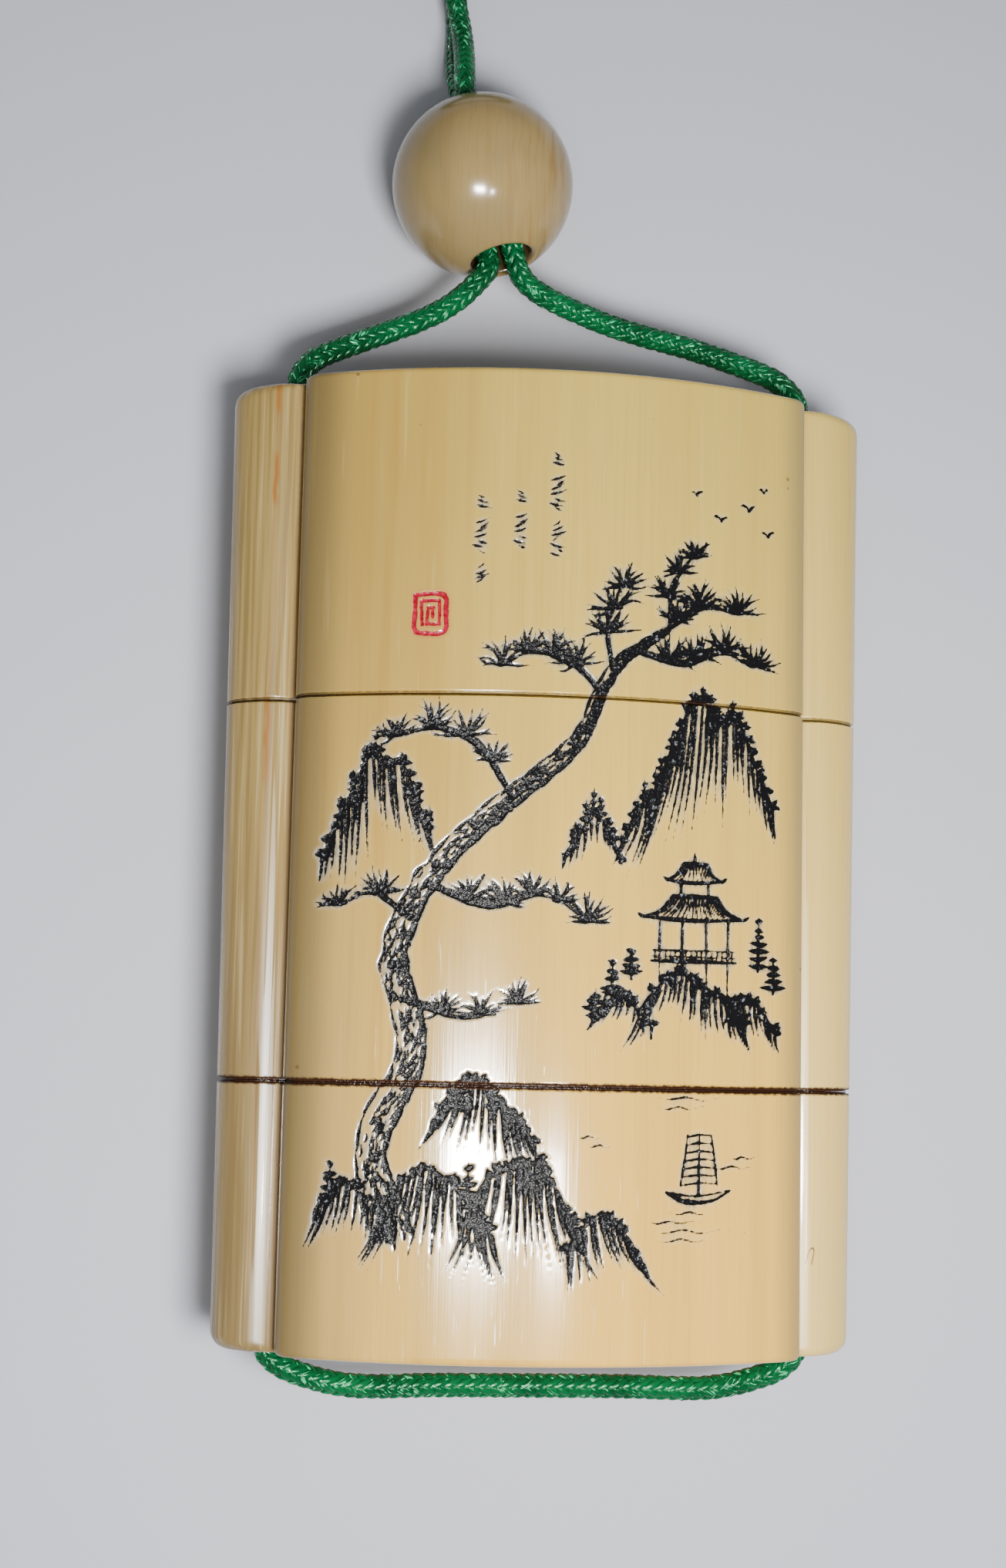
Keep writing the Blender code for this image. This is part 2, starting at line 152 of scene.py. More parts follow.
def wing_quarter(half_width, steps):
    """A wing's edge from the groove, where its top dips a little, round to its side."""
    upper = np.linspace(math.pi / 2, math.pi / 3, steps)
    points = []
    for turn in [*upper, *np.linspace(math.pi / 3, 0, steps)[1:]]:
        out = (half_width - PANEL_HALF) * math.cos(turn)
        dip = WING_DIP * max(0.0, 1 - out / WING_DIP_REACH) ** 2
        up = WING_HALF_THICKNESS * math.sin(turn) - dip if turn > 0 else 0.0
        points.append((PANEL_HALF + out, up))
    return points


def case_outline(half_width):
    """The case's outline across: close points on the engraved front, few on the flat back."""
    fine = round(ENGRAVED_HALF / ENGRAVING_GRID)
    front_places = [*np.linspace(0, ENGRAVED_HALF, fine + 1), ENGRAVED_HALF + 0.35 * MM]
    back_places = [0.0, REST_STRIP_HALF / 2, *np.linspace(REST_STRIP_HALF, PANEL_HALF, 9)]
    quarters = []
    for places, steps in ((front_places, FRONT_WING_STEPS), (back_places, BACK_WING_STEPS)):
        panel = panel_quarter(PANEL_HALF, 0.0, PANEL_SHOULDER_RADIUS, places)
        quarters.append(panel + wing_quarter(half_width, steps))
    loop = closed_loop(*quarters)
    loop[:, 1] = np.maximum(loop[:, 1], -mid_height)
    return loop


def inside_outline(grow):
    """The compartment's outline, or the collar's or its recess's when it is grown."""
    places = np.linspace(0, COMPARTMENT_HALF, 10)
    half = COMPARTMENT_HALF + grow
    quarter = panel_quarter(half, WALL - grow, COMPARTMENT_CORNER_RADIUS + grow, places)
    return closed_loop(quarter, quarter)


def drawn_in(loop, amounts):
    """Moves each point of a closed loop inwards by its own amount."""
    step = np.roll(loop, -1, axis=0) - np.roll(loop, 1, axis=0)
    normal = np.stack([-step[:, 1], step[:, 0]], axis=1)
    normal /= np.linalg.norm(normal, axis=1)[:, None]
    inwards = normal if np.sum(normal * loop) < 0 else -normal
    return loop + inwards * amounts[:, None]


class Shell:
    """The corners and faces of one closed piece, put together loop by loop. Its flat faces
    are shaded flat, and the bands between its loops smooth."""

    def __init__(self):
        self.points = []
        self.faces = []
        self.flat_faces = []

    def loop(self, outline, y):
        first = len(self.points)
        self.points += [(x, y, z + mid_height) for x, z in outline]
        return list(range(first, len(self.points)))

    def band(self, low, high):
        self.faces += zip(low, low[1:] + low[:1], high[1:] + high[:1], high)

    def tube(self, loops):
        for low, high in zip(loops, loops[1:]):
            self.band(low, high)

    def flat(self, outer, holes=()):
        loops = [outer, *holes]
        places = [[Vector(self.points[i]) for i in ring] for ring in loops]
        corners = [i for ring in loops for i in ring]
        first = len(self.faces)
        self.faces += [tuple(corners[k] for k in face) for face in tessellate_polygon(places)]
        self.flat_faces += range(first, len(self.faces))


def outer_loops(shell, low, high, closed_low, closed_high):
    """The outside of a section. A closed end is well rounded and a seam edge only just. At a
    seam, a land set in behind the edge stands out a little and closes the seam to the eye."""
    seat_low, seat_high = low, high
    low = low if closed_low else low + SEAM_LAND
    high = high if closed_high else high - SEAM_LAND
    starts = []
    for closed in (closed_low, closed_high):
        radius = WING_END_RADIUS if closed else SEAM_EDGE_RADIUS
        steps = END_STEPS if closed else SEAM_STEPS
        starts.append(radius * (1 - np.cos(np.linspace(0, math.pi / 2, steps + 1))))
    span = high - low - starts[0][-1] - starts[1][-1]
    between = np.linspace(0, span, round(span / ENGRAVING_GRID) + 1)[1:-1] + low + starts[0][-1]
    loops = []
    for y in [*(low + starts[0]), *between, *(high - starts[1][::-1])]:
        outline = case_outline(CASE_WIDTH / 2 + SIDE_FLARE * y / case_top)
        for closed, depth in ((closed_low, y - low), (closed_high, high - y)):
            wing = np.clip((np.abs(outline[:, 0]) - PANEL_HALF) / (CASE_WIDTH / 2 - PANEL_HALF), 0, 1)
            radii = np.full(len(outline), SEAM_EDGE_RADIUS)
            if closed:
                radii = PANEL_END_RADIUS + (WING_END_RADIUS - PANEL_END_RADIUS) * wing
            if depth < radii.max():
                left = np.clip(radii - depth, 0, None)
                outline = drawn_in(outline, radii - np.sqrt(radii**2 - left**2))
        loops.append(shell.loop(outline, y))
    ends = ((closed_low, seat_low, low, 0), (closed_high, seat_high, high, len(loops)))
    for closed, seat, edge, place in ends:
        if not closed:
            outline = case_outline(CASE_WIDTH / 2 + SIDE_FLARE * edge / case_top)
            outline = drawn_in(outline, np.full(len(outline), SEAM_LAND_INSET))
            land = [shell.loop(outline, seat), shell.loop(outline, edge)]
            loops[place:place] = land if place == 0 else land[::-1]
    return loops


def channels(shell, low, high, flare_low, flare_high):
    """The cord's two bores, opened out in a round mouth at the case's own ends."""
    stations = []
    for end, inwards, flared in ((low, 1, flare_low), (high, -1, flare_high)):
        rings = [(end, CHANNEL_RADIUS)]
        if flared:
            rings = []
            for turn in np.linspace(0, math.pi / 2, CHANNEL_MOUTH_STEPS + 1):
                deep = CHANNEL_MOUTH_DEPTH * (1 - math.cos(turn))
                wider = CHANNEL_MOUTH_FLARE * (1 - math.sin(turn))
                rings.append((end + inwards * deep, CHANNEL_RADIUS + wider))
        stations += rings[::inwards]
    turns = 2 * math.pi * (np.arange(CHANNEL_SIDES) + 0.5) / CHANNEL_SIDES
    mouths = ([], [])
    for side in (-1, 1):
        loops = []
        for y, radius in stations:
            across = side * CHANNEL_SIDE + radius * np.cos(turns)
            loops.append(shell.loop(np.stack([across, radius * np.sin(turns)], axis=1), y))
        shell.tube(loops)
        mouths[0].append(loops[0])
        mouths[1].append(loops[-1])
    return mouths


def inside_tube(shell, grow, *places):
    loops = [shell.loop(inside_outline(grow), y) for y in places]
    shell.tube(loops)
    return loops


def closed_mesh(name, points, faces):
    """A smooth mesh of the given corners and faces, all of them facing outwards."""
    mesh = bpy.data.meshes.new(name)
    mesh.from_pydata(points, [], faces)
    bm = bmesh.new()
    bm.from_mesh(mesh)
    bmesh.ops.recalc_face_normals(bm, faces=bm.faces)
    bm.to_mesh(mesh)
    bm.free()
    mesh.shade_smooth()
    return mesh


def add_section(name, shell, skin):
    """Makes the piece's object, with the engraving pressed in and its marks on the corners."""
    places = np.array(shell.points)
    across = np.abs(places[:, 0])
    on_front = (places[:, 2] > mid_height + ENGRAVED_FROM) & (across < ENGRAVED_HALF + 0.01 * MM)
    marks = {}
    for kind, field in engraving.items():
        marks[kind] = np.full(len(places), field.far)
        marks[kind][on_front] = field.at(places[on_front, 0] / MM, places[on_front, 1] / MM)
    depth = np.clip((GRAVER_REACH - np.minimum(marks["ink"], marks["seal"])) / GRAVER_SLOPE, 0, 1)
    from_crown = np.linalg.norm(places[:, [0, 2]] - [0, mid_height + crown_centre], axis=1) - crown_radius
    cut = on_front & (from_crown > -0.3 * MM)
    places[:, 2] -= np.where(cut, GRAVER_DEPTH * depth * depth * (3 - 2 * depth), 0.0)
    mesh = closed_mesh(name, places.tolist(), shell.faces)
    for kind, values in marks.items():
        attribute = mesh.attributes.new(kind, "FLOAT", "POINT")
        attribute.data.foreach_set("value", values.astype(np.float32))
    mesh.set_sharp_from_angle(angle=SHARP_ANGLE)
    for i in shell.flat_faces:
        mesh.polygons[i].use_smooth = False
    mesh.materials.append(skin)
    piece = placed(name, mesh)
    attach(piece, "root")
    return piece


# The front is engraved and blackened: a leaning pine over a waterside hall, with three
# columns of plain strokes and a red stamped square above it. The graver's cuts run on
# across the seams, and a grey smear of ink stays on the ivory where they lie close.
GRAVER_DEPTH = 0.1 * MM
GRAVER_REACH = 0.03
GRAVER_SLOPE = 0.16
SMEAR_REACH = 0.55
SMEAR_SPREAD = 21
FIELD_STEP = 0.07
FIELD_LOW = (-20.65, -41.3)
FIELD_COLUMNS = 591
FIELD_ROWS = 1181
CUT_STEP = 0.4
LIMB_STEP = 0.5
LINE_SAMPLES = 8


def smooth_route(points, spacing, samples=24):
    """Evenly spaced points on one smooth curve through the chosen ones, and its length."""
    chosen = np.array(points, float)
    ends = np.vstack([2 * chosen[0] - chosen[1], chosen, 2 * chosen[-1] - chosen[-2]])
    knots = np.concatenate([[0], np.cumsum(np.sqrt(np.linalg.norm(np.diff(ends, axis=0), axis=1)))])
    pieces = []
    for i in range(1, len(ends) - 2):
        t0, t1, t2, t3 = knots[i - 1 : i + 3]
        t = np.linspace(t1, t2, samples, endpoint=False)[:, None]
        a = ends[i - 1] * (t1 - t) / (t1 - t0) + ends[i] * (t - t0) / (t1 - t0)
        b = ends[i] * (t2 - t) / (t2 - t1) + ends[i + 1] * (t - t1) / (t2 - t1)
        c = ends[i + 1] * (t3 - t) / (t3 - t2) + ends[i + 2] * (t - t2) / (t3 - t2)
        early = a * (t2 - t) / (t2 - t0) + b * (t - t0) / (t2 - t0)
        late = b * (t3 - t) / (t3 - t1) + c * (t - t1) / (t3 - t1)
        pieces.append(early * (t2 - t) / (t2 - t1) + late * (t - t1) / (t2 - t1))
    curve = np.vstack([*pieces, ends[-2:-1]])
    along = np.concatenate([[0], np.cumsum(np.linalg.norm(np.diff(curve, axis=0), axis=1))])
    stations = np.linspace(0, along[-1], max(1, round(along[-1] / spacing)) + 1)
    route = np.stack([np.interp(stations, along, curve[:, k]) for k in range(chosen.shape[1])], axis=1)
    return route, along[-1]


class Field:
    """Distances from a set of cuts, on an even grid over the front panel. They are in
    millimetres, and so are all the drawing's places, widths and reaches."""

    def __init__(self, far):
        self.far = far
        self.low = np.array(FIELD_LOW)
        self.values = np.full((FIELD_ROWS, FIELD_COLUMNS), far)

    def cut(self, start, end, half_start, half_end):
        """Takes in one straight length of a cut that widens or narrows evenly."""
        pad = max(half_start, half_end) + SMEAR_REACH
        first = ((np.minimum(start, end) - pad - self.low) / FIELD_STEP).astype(int).clip(0)
        last = ((np.maximum(start, end) + pad - self.low) / FIELD_STEP).astype(int) + 2
        window = self.values[first[1] : last[1], first[0] : last[0]]
        x = self.low[0] + FIELD_STEP * (first[0] + np.arange(window.shape[1]))[None, :] - start[0]
        y = self.low[1] + FIELD_STEP * (first[1] + np.arange(window.shape[0]))[:, None] - start[1]
        run = end - start
        share = ((x * run[0] + y * run[1]) / max(run @ run, 1e-9)).clip(0, 1)
        gap = np.hypot(x - share * run[0], y - share * run[1])
        np.minimum(window, gap - half_start - share * (half_end - half_start), out=window)

    def at(self, x, y):
        """The distances at the given places, blended between the grid's four nearest."""
        across = ((x - self.low[0]) / FIELD_STEP).clip(0, FIELD_COLUMNS - 1.001)
        up = ((y - self.low[1]) / FIELD_STEP).clip(0, FIELD_ROWS - 1.001)
        i, j = across.astype(int), up.astype(int)
        u, v = across - i, up - j
        low = self.values[j, i] * (1 - u) + self.values[j, i + 1] * u
        high = self.values[j + 1, i] * (1 - u) + self.values[j + 1, i + 1] * u
        return low * (1 - v) + high * v


engraving = {"ink": Field(1.0), "seal": Field(1.0), "wash": Field(0.0)}
hand = np.random.default_rng(31)


def stroke(points, width, start=0.0, end=0.0, kind="ink", shake=0.03):
    """One cut of the graver through the points, thinned towards its two ends."""
    points = np.array(points, float)
    points += hand.normal(0, shake, points.shape)
    line, _ = smooth_route(points, CUT_STEP, LINE_SAMPLES)
    shares = np.linspace(0, 1, len(line))
    swelling = start + (1 - start) * np.minimum(1, shares / 0.25)
    fading = end + (1 - end) * np.minimum(1, (1 - shares) / 0.6)
    halves = (width + 0.04) / 2 * (swelling * fading) * hand.uniform(0.85, 1.1, len(line)) - 0.01
    for i in range(len(line) - 1):
        engraving[kind].cut(line[i], line[i + 1], halves[i], halves[i + 1])


def turned(x, y, angle, reach):
    """The place at a reach from another one, at an angle in degrees."""
    angle = math.radians(angle)
    return (x + reach * math.cos(angle), y + reach * math.sin(angle))


def needle_tuft(x, y, reach, lean=0.0):
    """Pine needles fanned out over the end of a twig, each one a cut of its own."""
    count = int(6 + 3 * reach)
    for turn in np.linspace(-92, 92, count):
        angle = 90 + lean + turn + hand.normal(0, 5)
        far = reach * hand.uniform(0.72, 1.1)
        root = turned(x, y, angle, 0.1 * reach)
        middle = turned(x, y, angle + hand.normal(0, 7), 0.6 * far)
        stroke([root, middle, turned(x, y, angle, far)], 0.25, start=0.9, end=0.25)
    stroke([(x - 0.3 * reach, y), (x + 0.3 * reach, y + 0.1)], 0.5, start=0.5, end=0.4)


def leaf_spot(x, y, size):
    """A dab of far foliage: three or four short pointed cuts from one root."""
    for angle in (8, 62, 118, 172)[: hand.integers(3, 5)]:
        far = size * hand.uniform(0.75, 1.15)
        stroke([(x, y), turned(x, y, angle + hand.normal(0, 12), far)], 0.5, start=0.9, shake=0.02)


def leaf_clump(x, y, width, rows=3):
    """A small far tree: pairs of pointed dabs stacked on a stem, widest near its foot."""
    stroke([(x, y - 0.4), (x, y + rows * 0.62 + 0.3)], 0.26, start=0.8)
    for row in range(rows):
        half = width / 2 * (1 - 0.7 * row / rows) * hand.uniform(0.8, 1.15)
        level = y + 0.62 * row + hand.normal(0, 0.06)
        for side in (-1, 1):
            tip = (x + side * half, level + hand.uniform(-0.1, 0.3))
            stroke([(x, level), tip], 0.46, start=1.0)


def bough(points, width, tufts, reach):
    """A bough with a rough upper side and tufts along its outer part."""
    stroke(points, width, start=1.0)
    line, _ = smooth_route(points, LIMB_STEP, LINE_SAMPLES)
    stroke(line[::2] + [0.0, 0.34], 0.22, start=0.6)
    for share in tufts:
        x, y = line[int(share * (len(line) - 1))]
        size = reach * hand.uniform(0.85, 1.15)
        needle_tuft(x + hand.normal(0, 0.15), y + 0.25, size, hand.normal(0, 12))


def trunk(points, halves):
    """Two broken edges with rough bark cuts between them, close on the shaded side."""
    line, _ = smooth_route(points, LIMB_STEP, LINE_SAMPLES)
    run = np.gradient(line, axis=0)
    run /= np.linalg.norm(run, axis=1)[:, None]
    out = np.stack([run[:, 1], -run[:, 0]], axis=1)
    wide = np.interp(np.linspace(0, 1, len(line)), np.linspace(0, 1, len(halves)), halves)
    wide *= hand.uniform(0.88, 1.12, len(line))
    for side, width in ((-1, 0.3), (1, 0.46)):
        edge = line + out * (wide * side)[:, None]
        for first in range(0, len(line) - 4, 5):
            stroke(edge[first : first + 7 : 2], width, start=0.4, end=0.2, shake=0.06)
    for i in range(1, len(line) - 1):
        for across in np.arange(-0.8, 0.95, 0.26):
            if hand.uniform() < 0.66 + 0.34 * across:
                centre = line[i] + out[i] * wide[i] * (across + hand.normal(0, 0.08))
                arc = [centre - run[i] * 0.55, centre + out[i] * 0.18, centre + run[i] * 0.55]
                stroke(arc, 0.24, start=0.3, end=0.1)
    for i in range(2, len(line) - 2, 9):
        knot = line[i] + out[i] * wide[i] * hand.uniform(-0.3, 0.3)
        stroke([knot - run[i] * 0.5, knot + out[i] * 0.25, knot + run[i] * 0.5], 0.46, start=0.3)
        stroke([knot - run[i] * 0.5, knot - out[i] * 0.25, knot + run[i] * 0.5], 0.3, start=0.3)


def along_line(line, share):
    """The place at a share of the way across a list of corners."""
    x = line[0][0] + share * (line[-1][0] - line[0][0])
    return x, float(np.interp(x, [place[0] for place in line], [place[1] for place in line]))


def falls(crest, reach, fan, spacing=0.44, dark=0.16, even=1.0):
    """Long cuts in bundles that run down and fan out from a crest, darkest under its start."""
    count = int((crest[-1][0] - crest[0][0]) / spacing)
    bundle = 1.0
    for i in range(count):
        if i % 4 == 0:
            bundle = hand.uniform(0.5, 1.0)
        share = (i + hand.uniform(0.25, 0.75)) / count
        x, y = along_line(crest, share)
        far = reach * bundle * hand.uniform(0.8, 1.05) * (even + (1 - even) * math.sin(math.pi * share))
        side = fan[0] * (1 - share) + fan[1] * share + hand.normal(0, 0.02)
        line = [(x, y), (x + 0.3 * side * far, y - 0.45 * far), (x + side * far, y - far)]
        stroke(line, 0.28, start=0.9)
        if hand.uniform() < dark:
            stroke(line[:2], 0.55, start=0.6, end=0.2)


def rock(x, y, width, height, fan=(-0.5, 0.35), growth=2.0):
    """A cut boulder: a broken angular crown with dabs of growth, and falls below it."""
    crown = []
    for share in np.linspace(0, 1, 6):
        rise = math.sin(math.pi * min(1.0, 0.08 + 0.98 * share)) ** 0.8
        crown.append((x + width * (share - 0.5), y + height * rise * hand.uniform(0.75, 1.1)))
    for start, end in zip(crown, crown[1:]):
        stroke([start, end], 0.4, start=0.5, end=0.4, shake=0.06)
    falls(crown, height * 1.5, fan, 0.42, 0.32, 0.6)
    for _ in range(int(width * growth)):
        px, py = along_line(crown, hand.uniform(0, 1))
        leaf_spot(px, py + 0.1, hand.uniform(0.55, 1.0))


def far_hill(crest, reach, fan, growth):
    """A steep far hill: one broken crest, long falls on both its flanks and trees along it."""
    for start, end in zip(crest, crest[1:]):
        stroke([start, end], 0.36, start=0.5, end=0.5, shake=0.05)
    falls(crest, reach, fan, 0.46, 0.34, 0.3)
    for share in np.linspace(0.02, 0.98, growth):
        px, py = along_line(crest, share)
        if hand.uniform() < 0.4:
            leaf_clump(px, py + 0.2, hand.uniform(1.0, 1.5), int(hand.integers(2, 4)))
        else:
            leaf_spot(px, py + 0.15, hand.uniform(0.6, 1.0))


def ripples(x, y, width, rows):
    """Short level waves, one row below another."""
    for row in range(rows):
        half = width / 2 * hand.uniform(0.5, 1.0)
        centre = x + hand.normal(0, width / 8)
        level = y - 0.75 * row
        places = np.linspace(centre - half, centre + half, 6)
        stroke([(px, level + 0.12 * (-1) ** k) for k, px in enumerate(places)], 0.14)


def roof(x, y, half, height):
    """A tiled roof: a level ridge, hollow slopes to upturned eaves and close tile lines."""
    top = half * 0.42
    stroke([(x - top, y + height), (x + top, y + height)], 0.42, start=0.7, end=0.7)
    for side in (-1, 1):
        hollow = (x + side * half * 0.66, y + 0.35 * height)
        eave = (x + side * half, y + 0.12)
        stroke([(x + side * top, y + height), hollow, eave], 0.34, start=1.0, end=0.5)
        stroke([eave, (x + side * (half + 0.55), y + 0.5)], 0.3, start=1.0)
    stroke([(x - half, y + 0.1), (x, y - 0.08), (x + half, y + 0.1)], 0.36, start=0.6, end=0.6)
    for share in np.linspace(-0.9, 0.9, int(half * 4.2)):
        hollow = (x + share * half * 0.68, y + 0.4 * height)
        eave = (x + share * half * 0.97, y + 0.1)
        stroke([(x + share * top, y + height), hollow, eave], 0.17, start=0.7, end=0.5)


def pavilion(x, y):
    """An open waterside hall on posts, its floor railed, under two roofs."""
    for post in (-3.0, -1.1, 1.1, 3.0):
        stroke([(x + post, y + 3.6), (x + post, y - 2.6)], 0.24, start=1.0, end=0.4)
    for level, width in ((0.9, 0.16), (0.35, 0.16), (0.0, 0.34)):
        stroke([(x - 3.7, y + level), (x + 3.7, y + level)], width, start=0.6, end=0.6)
    for bar in np.arange(-3.4, 3.5, 0.45):
        stroke([(x + bar, y + 0.9), (x + bar, y)], 0.13, start=1.0, end=0.8)
    roof(x, y + 3.5, 4.5, 1.9)
    for post in (-1.2, 1.2):
        stroke([(x + post, y + 6.7), (x + post, y + 5.4)], 0.24, start=1.0, end=1.0)
    roof(x, y + 6.6, 2.4, 1.5)
    stroke([(x, y + 8.1), (x, y + 9.2)], 0.3, start=1.0)


def sailing_boat(x, y):
    """A small boat under a ribbed sail."""
    stern, bow = (x - 2.6, y + 0.45), (x + 3.0, y + 0.65)
    mast = x + 0.25
    stroke([stern, (x - 1.2, y - 0.25), (x + 1.4, y - 0.25), bow], 0.4, start=0.6, end=0.4)
    stroke([stern, (x, y + 0.2), bow], 0.2, start=0.6, end=0.4)
    stroke([(x + 0.2, y + 0.2), (mast, y + 5.4)], 0.24, start=1.0, end=0.4)
    for level in np.linspace(1.1, 5.0, 7):
        half = 1.75 - 0.14 * level
        rib = [(mast - half, y + level - 0.1), (mast, y + level + 0.1), (mast + half, y + level)]
        stroke(rib, 0.18, start=0.6, end=0.6)
    for side in (-1, 1):
        edge = [(mast + side * out, y + level) for out, level in ((1.6, 1.0), (1.35, 3.0), (1.0, 5.1))]
        stroke(edge, 0.2, start=0.7, end=0.7)


def bird(x, y, size):
    """A far bird: two bent wings and a tail."""
    stroke([(x - size, y + 0.35 * size), (x - 0.4 * size, y + 0.5 * size), (x, y)], 0.24, end=0.5)
    stroke([(x, y), (x + 0.5 * size, y + 0.62 * size), (x + size, y + 0.3 * size)], 0.24, start=0.5)
    stroke([(x, y), (x + 0.25 * size, y - 0.25 * size)], 0.26, start=0.9)


def stroke_column(x, top, count):
    """Plain short cuts in a column, in groups that lean in turn."""
    for mark in range(count):
        level = top - 1.95 * mark
        lean = 0.3 if mark % 2 else -0.16
        for row in range(3 + mark % 2):
            y = level - 0.4 * row
            half = 0.38 + 0.2 * ((2 * mark + row) % 3)
            shift = 0.14 * ((mark + row) % 3 - 1)
            cut = [(x - half + shift, y - lean), (x + shift, y - 0.06), (x + half + shift, y + lean)]
            stroke(cut, 0.22, start=0.4)


def stamped_square(x, y):
    """A plain red fret in a rounded frame."""
    right_side = [(1.2, 1.5), (1.27, 0), (1.2, -1.55)]
    left_side = [(-1.2, -1.5), (-1.25, 0), (-1.2, 1.5)]
    border = [left_side[-1], (0, 1.6), *right_side, (0, -1.62), *left_side]
    stroke([(x + a, y + b) for a, b in border], 0.36, start=1.0, end=1.0, kind="seal")
    fret = [(-0.7, -1.0), (-0.7, 1.0), (0.72, 1.0), (0.72, -0.95)]
    fret += [(-0.2, -0.95), (-0.2, 0.45), (0.25, 0.45), (0.25, -0.4)]
    for start, end in zip(fret, fret[1:]):
        line = [(x + start[0], y + start[1]), (x + end[0], y + end[1])]
        stroke(line, 0.24, start=1.0, end=1.0, kind="seal")


stroke_column(-0.5, 33.6, 5)
stroke_column(-3.5, 30.3, 3)
stroke_column(-6.8, 29.8, 4)
stamped_square(-11.0, 19.9)

left_crest = [(-19.4, -0.8), (-18.0, 2.6), (-16.8, 5.2), (-15.4, 8.4)]
left_crest += [(-14.2, 7.0), (-12.9, 7.4), (-11.4, 3.8), (-10.4, 1.4)]
far_hill(left_crest, 11.0, (-0.12, 0.3), 20)
right_crest = [(5.0, 0.6), (6.6, 4.2), (8.0, 5.4), (9.6, 9.6), (11.0, 12.9)]
right_crest += [(12.4, 13.6), (13.8, 11.4), (15.4, 12.2), (17.0, 8.6), (18.8, 4.2)]
far_hill(right_crest, 13.0, (-0.42, 0.16), 30)
far_hill([(0.4, -0.4), (1.6, 1.8), (2.8, 3.6), (4.0, 2.6), (5.2, -0.6)], 4.6, (-0.3, 0.3), 9)

leaning_line = [(-12.6, -31.5), (-14.6, -24), (-11.6, -16), (-13.2, -8), (-9.4, -0.5)]
leaning_line += [(-3.6, 5.0), (1.4, 9.5), (4.2, 15.5), (9.2, 19.6)]
trunk(leaning_line, [1.7, 1.3, 1.1, 1.05, 0.95, 0.8, 0.65, 0.45, 0.25])
bough([(3.4, 13.5), (0.4, 16.2), (-3.0, 16.6), (-5.2, 15.4)], 0.46, (0.3, 0.55, 0.78, 1.0), 2.3)
bough([(4.2, 15.4), (3.8, 19.0), (5.0, 22.4)], 0.42, (0.45, 0.75, 1.0), 2.3)
bough([(6.4, 17.2), (10.2, 16.4), (14.0, 17.6), (16.8, 16.6)], 0.46, (0.3, 0.52, 0.74, 1.0), 2.4)
bough([(9.0, 19.4), (12.2, 21.4), (15.4, 21.0)], 0.38, (0.2, 0.55, 1.0), 2.4)
bough([(9.0, 19.4), (9.4, 23.2), (11.4, 25.4)], 0.34, (0.4, 0.72, 1.0), 2.2)
bough([(-4.0, 4.8), (-6.8, 8.8), (-10.2, 10.2), (-13.6, 9.4)], 0.46, (0.28, 0.5, 0.75, 1.0), 2.3)
bough([(-12.0, -5.5), (-15.2, -3.4), (-17.6, -4.6)], 0.42, (0.5, 1.0), 2.1)
bough([(-10.8, -2.6), (-5.6, -4.4), (-1.2, -3.4), (2.8, -5.6)], 0.46, (0.25, 0.45, 0.64, 0.82, 1.0), 2.3)
bough([(-12.6, -12.0), (-7.4, -13.4), (-3.2, -12.4)], 0.4, (0.4, 0.7, 1.0), 2.1)

rock(5.6, -14.0, 5.0, 2.6, (-0.7, 0.0))
rock(11.6, -13.6, 9.4, 4.2)
rock(16.8, -14.2, 4.6, 3.2, (0.0, 0.3))
pavilion(11.6, -8.4)
for x, y, tall in ((4.6, -11.2, 5), (6.2, -9.6, 4), (17.4, -8.6, 7), (18.8, -10.4, 5), (3.2, -12.6, 3)):
    leaf_clump(x, y, 2.4, tall)
ripples(11.0, -19.6, 8.0, 2)
rock(-15.6, -31.0, 6.6, 4.6, (-0.36, 0.1))
rock(-9.2, -31.0, 9.4, 6.0)
rock(-2.2, -31.4, 9.4, 7.4, (-0.4, 0.5))
rock(4.4, -33.2, 6.6, 4.2, (-0.1, 0.8))
rock(-5.6, -23.4, 8.0, 5.0, (-0.6, 0.5))
for x, y, tall in ((-6.8, -27.4, 4), (-0.8, -26.4, 4), (-7.4, -20.6, 4), (-17.8, -28.0, 5), (-4.8, -20.6, 3)):
    leaf_clump(x, y, 2.2, tall)
sailing_boat(12.0, -27.6)
ripples(12.0, -28.8, 9.0, 4)
ripples(16.0, -24.4, 5.0, 2)
ripples(3.2, -22.8, 4.0, 2)
far_birds = ((16.2, 30.2, 0.9), (13.6, 29.0, 0.8), (18.0, 28.2, 0.8), (11.4, 31.0, 0.7), (17.6, 32.0, 0.6))
for x, y, size in far_birds:
    bird(x, y, size)

inked = (engraving["ink"].values < 0).astype(float)
spread = np.hanning(SMEAR_SPREAD) / np.hanning(SMEAR_SPREAD).sum()
for axis in (0, 1):
    inked = np.apply_along_axis(np.convolve, axis, inked, spread, "same")
engraving["wash"].values = inked


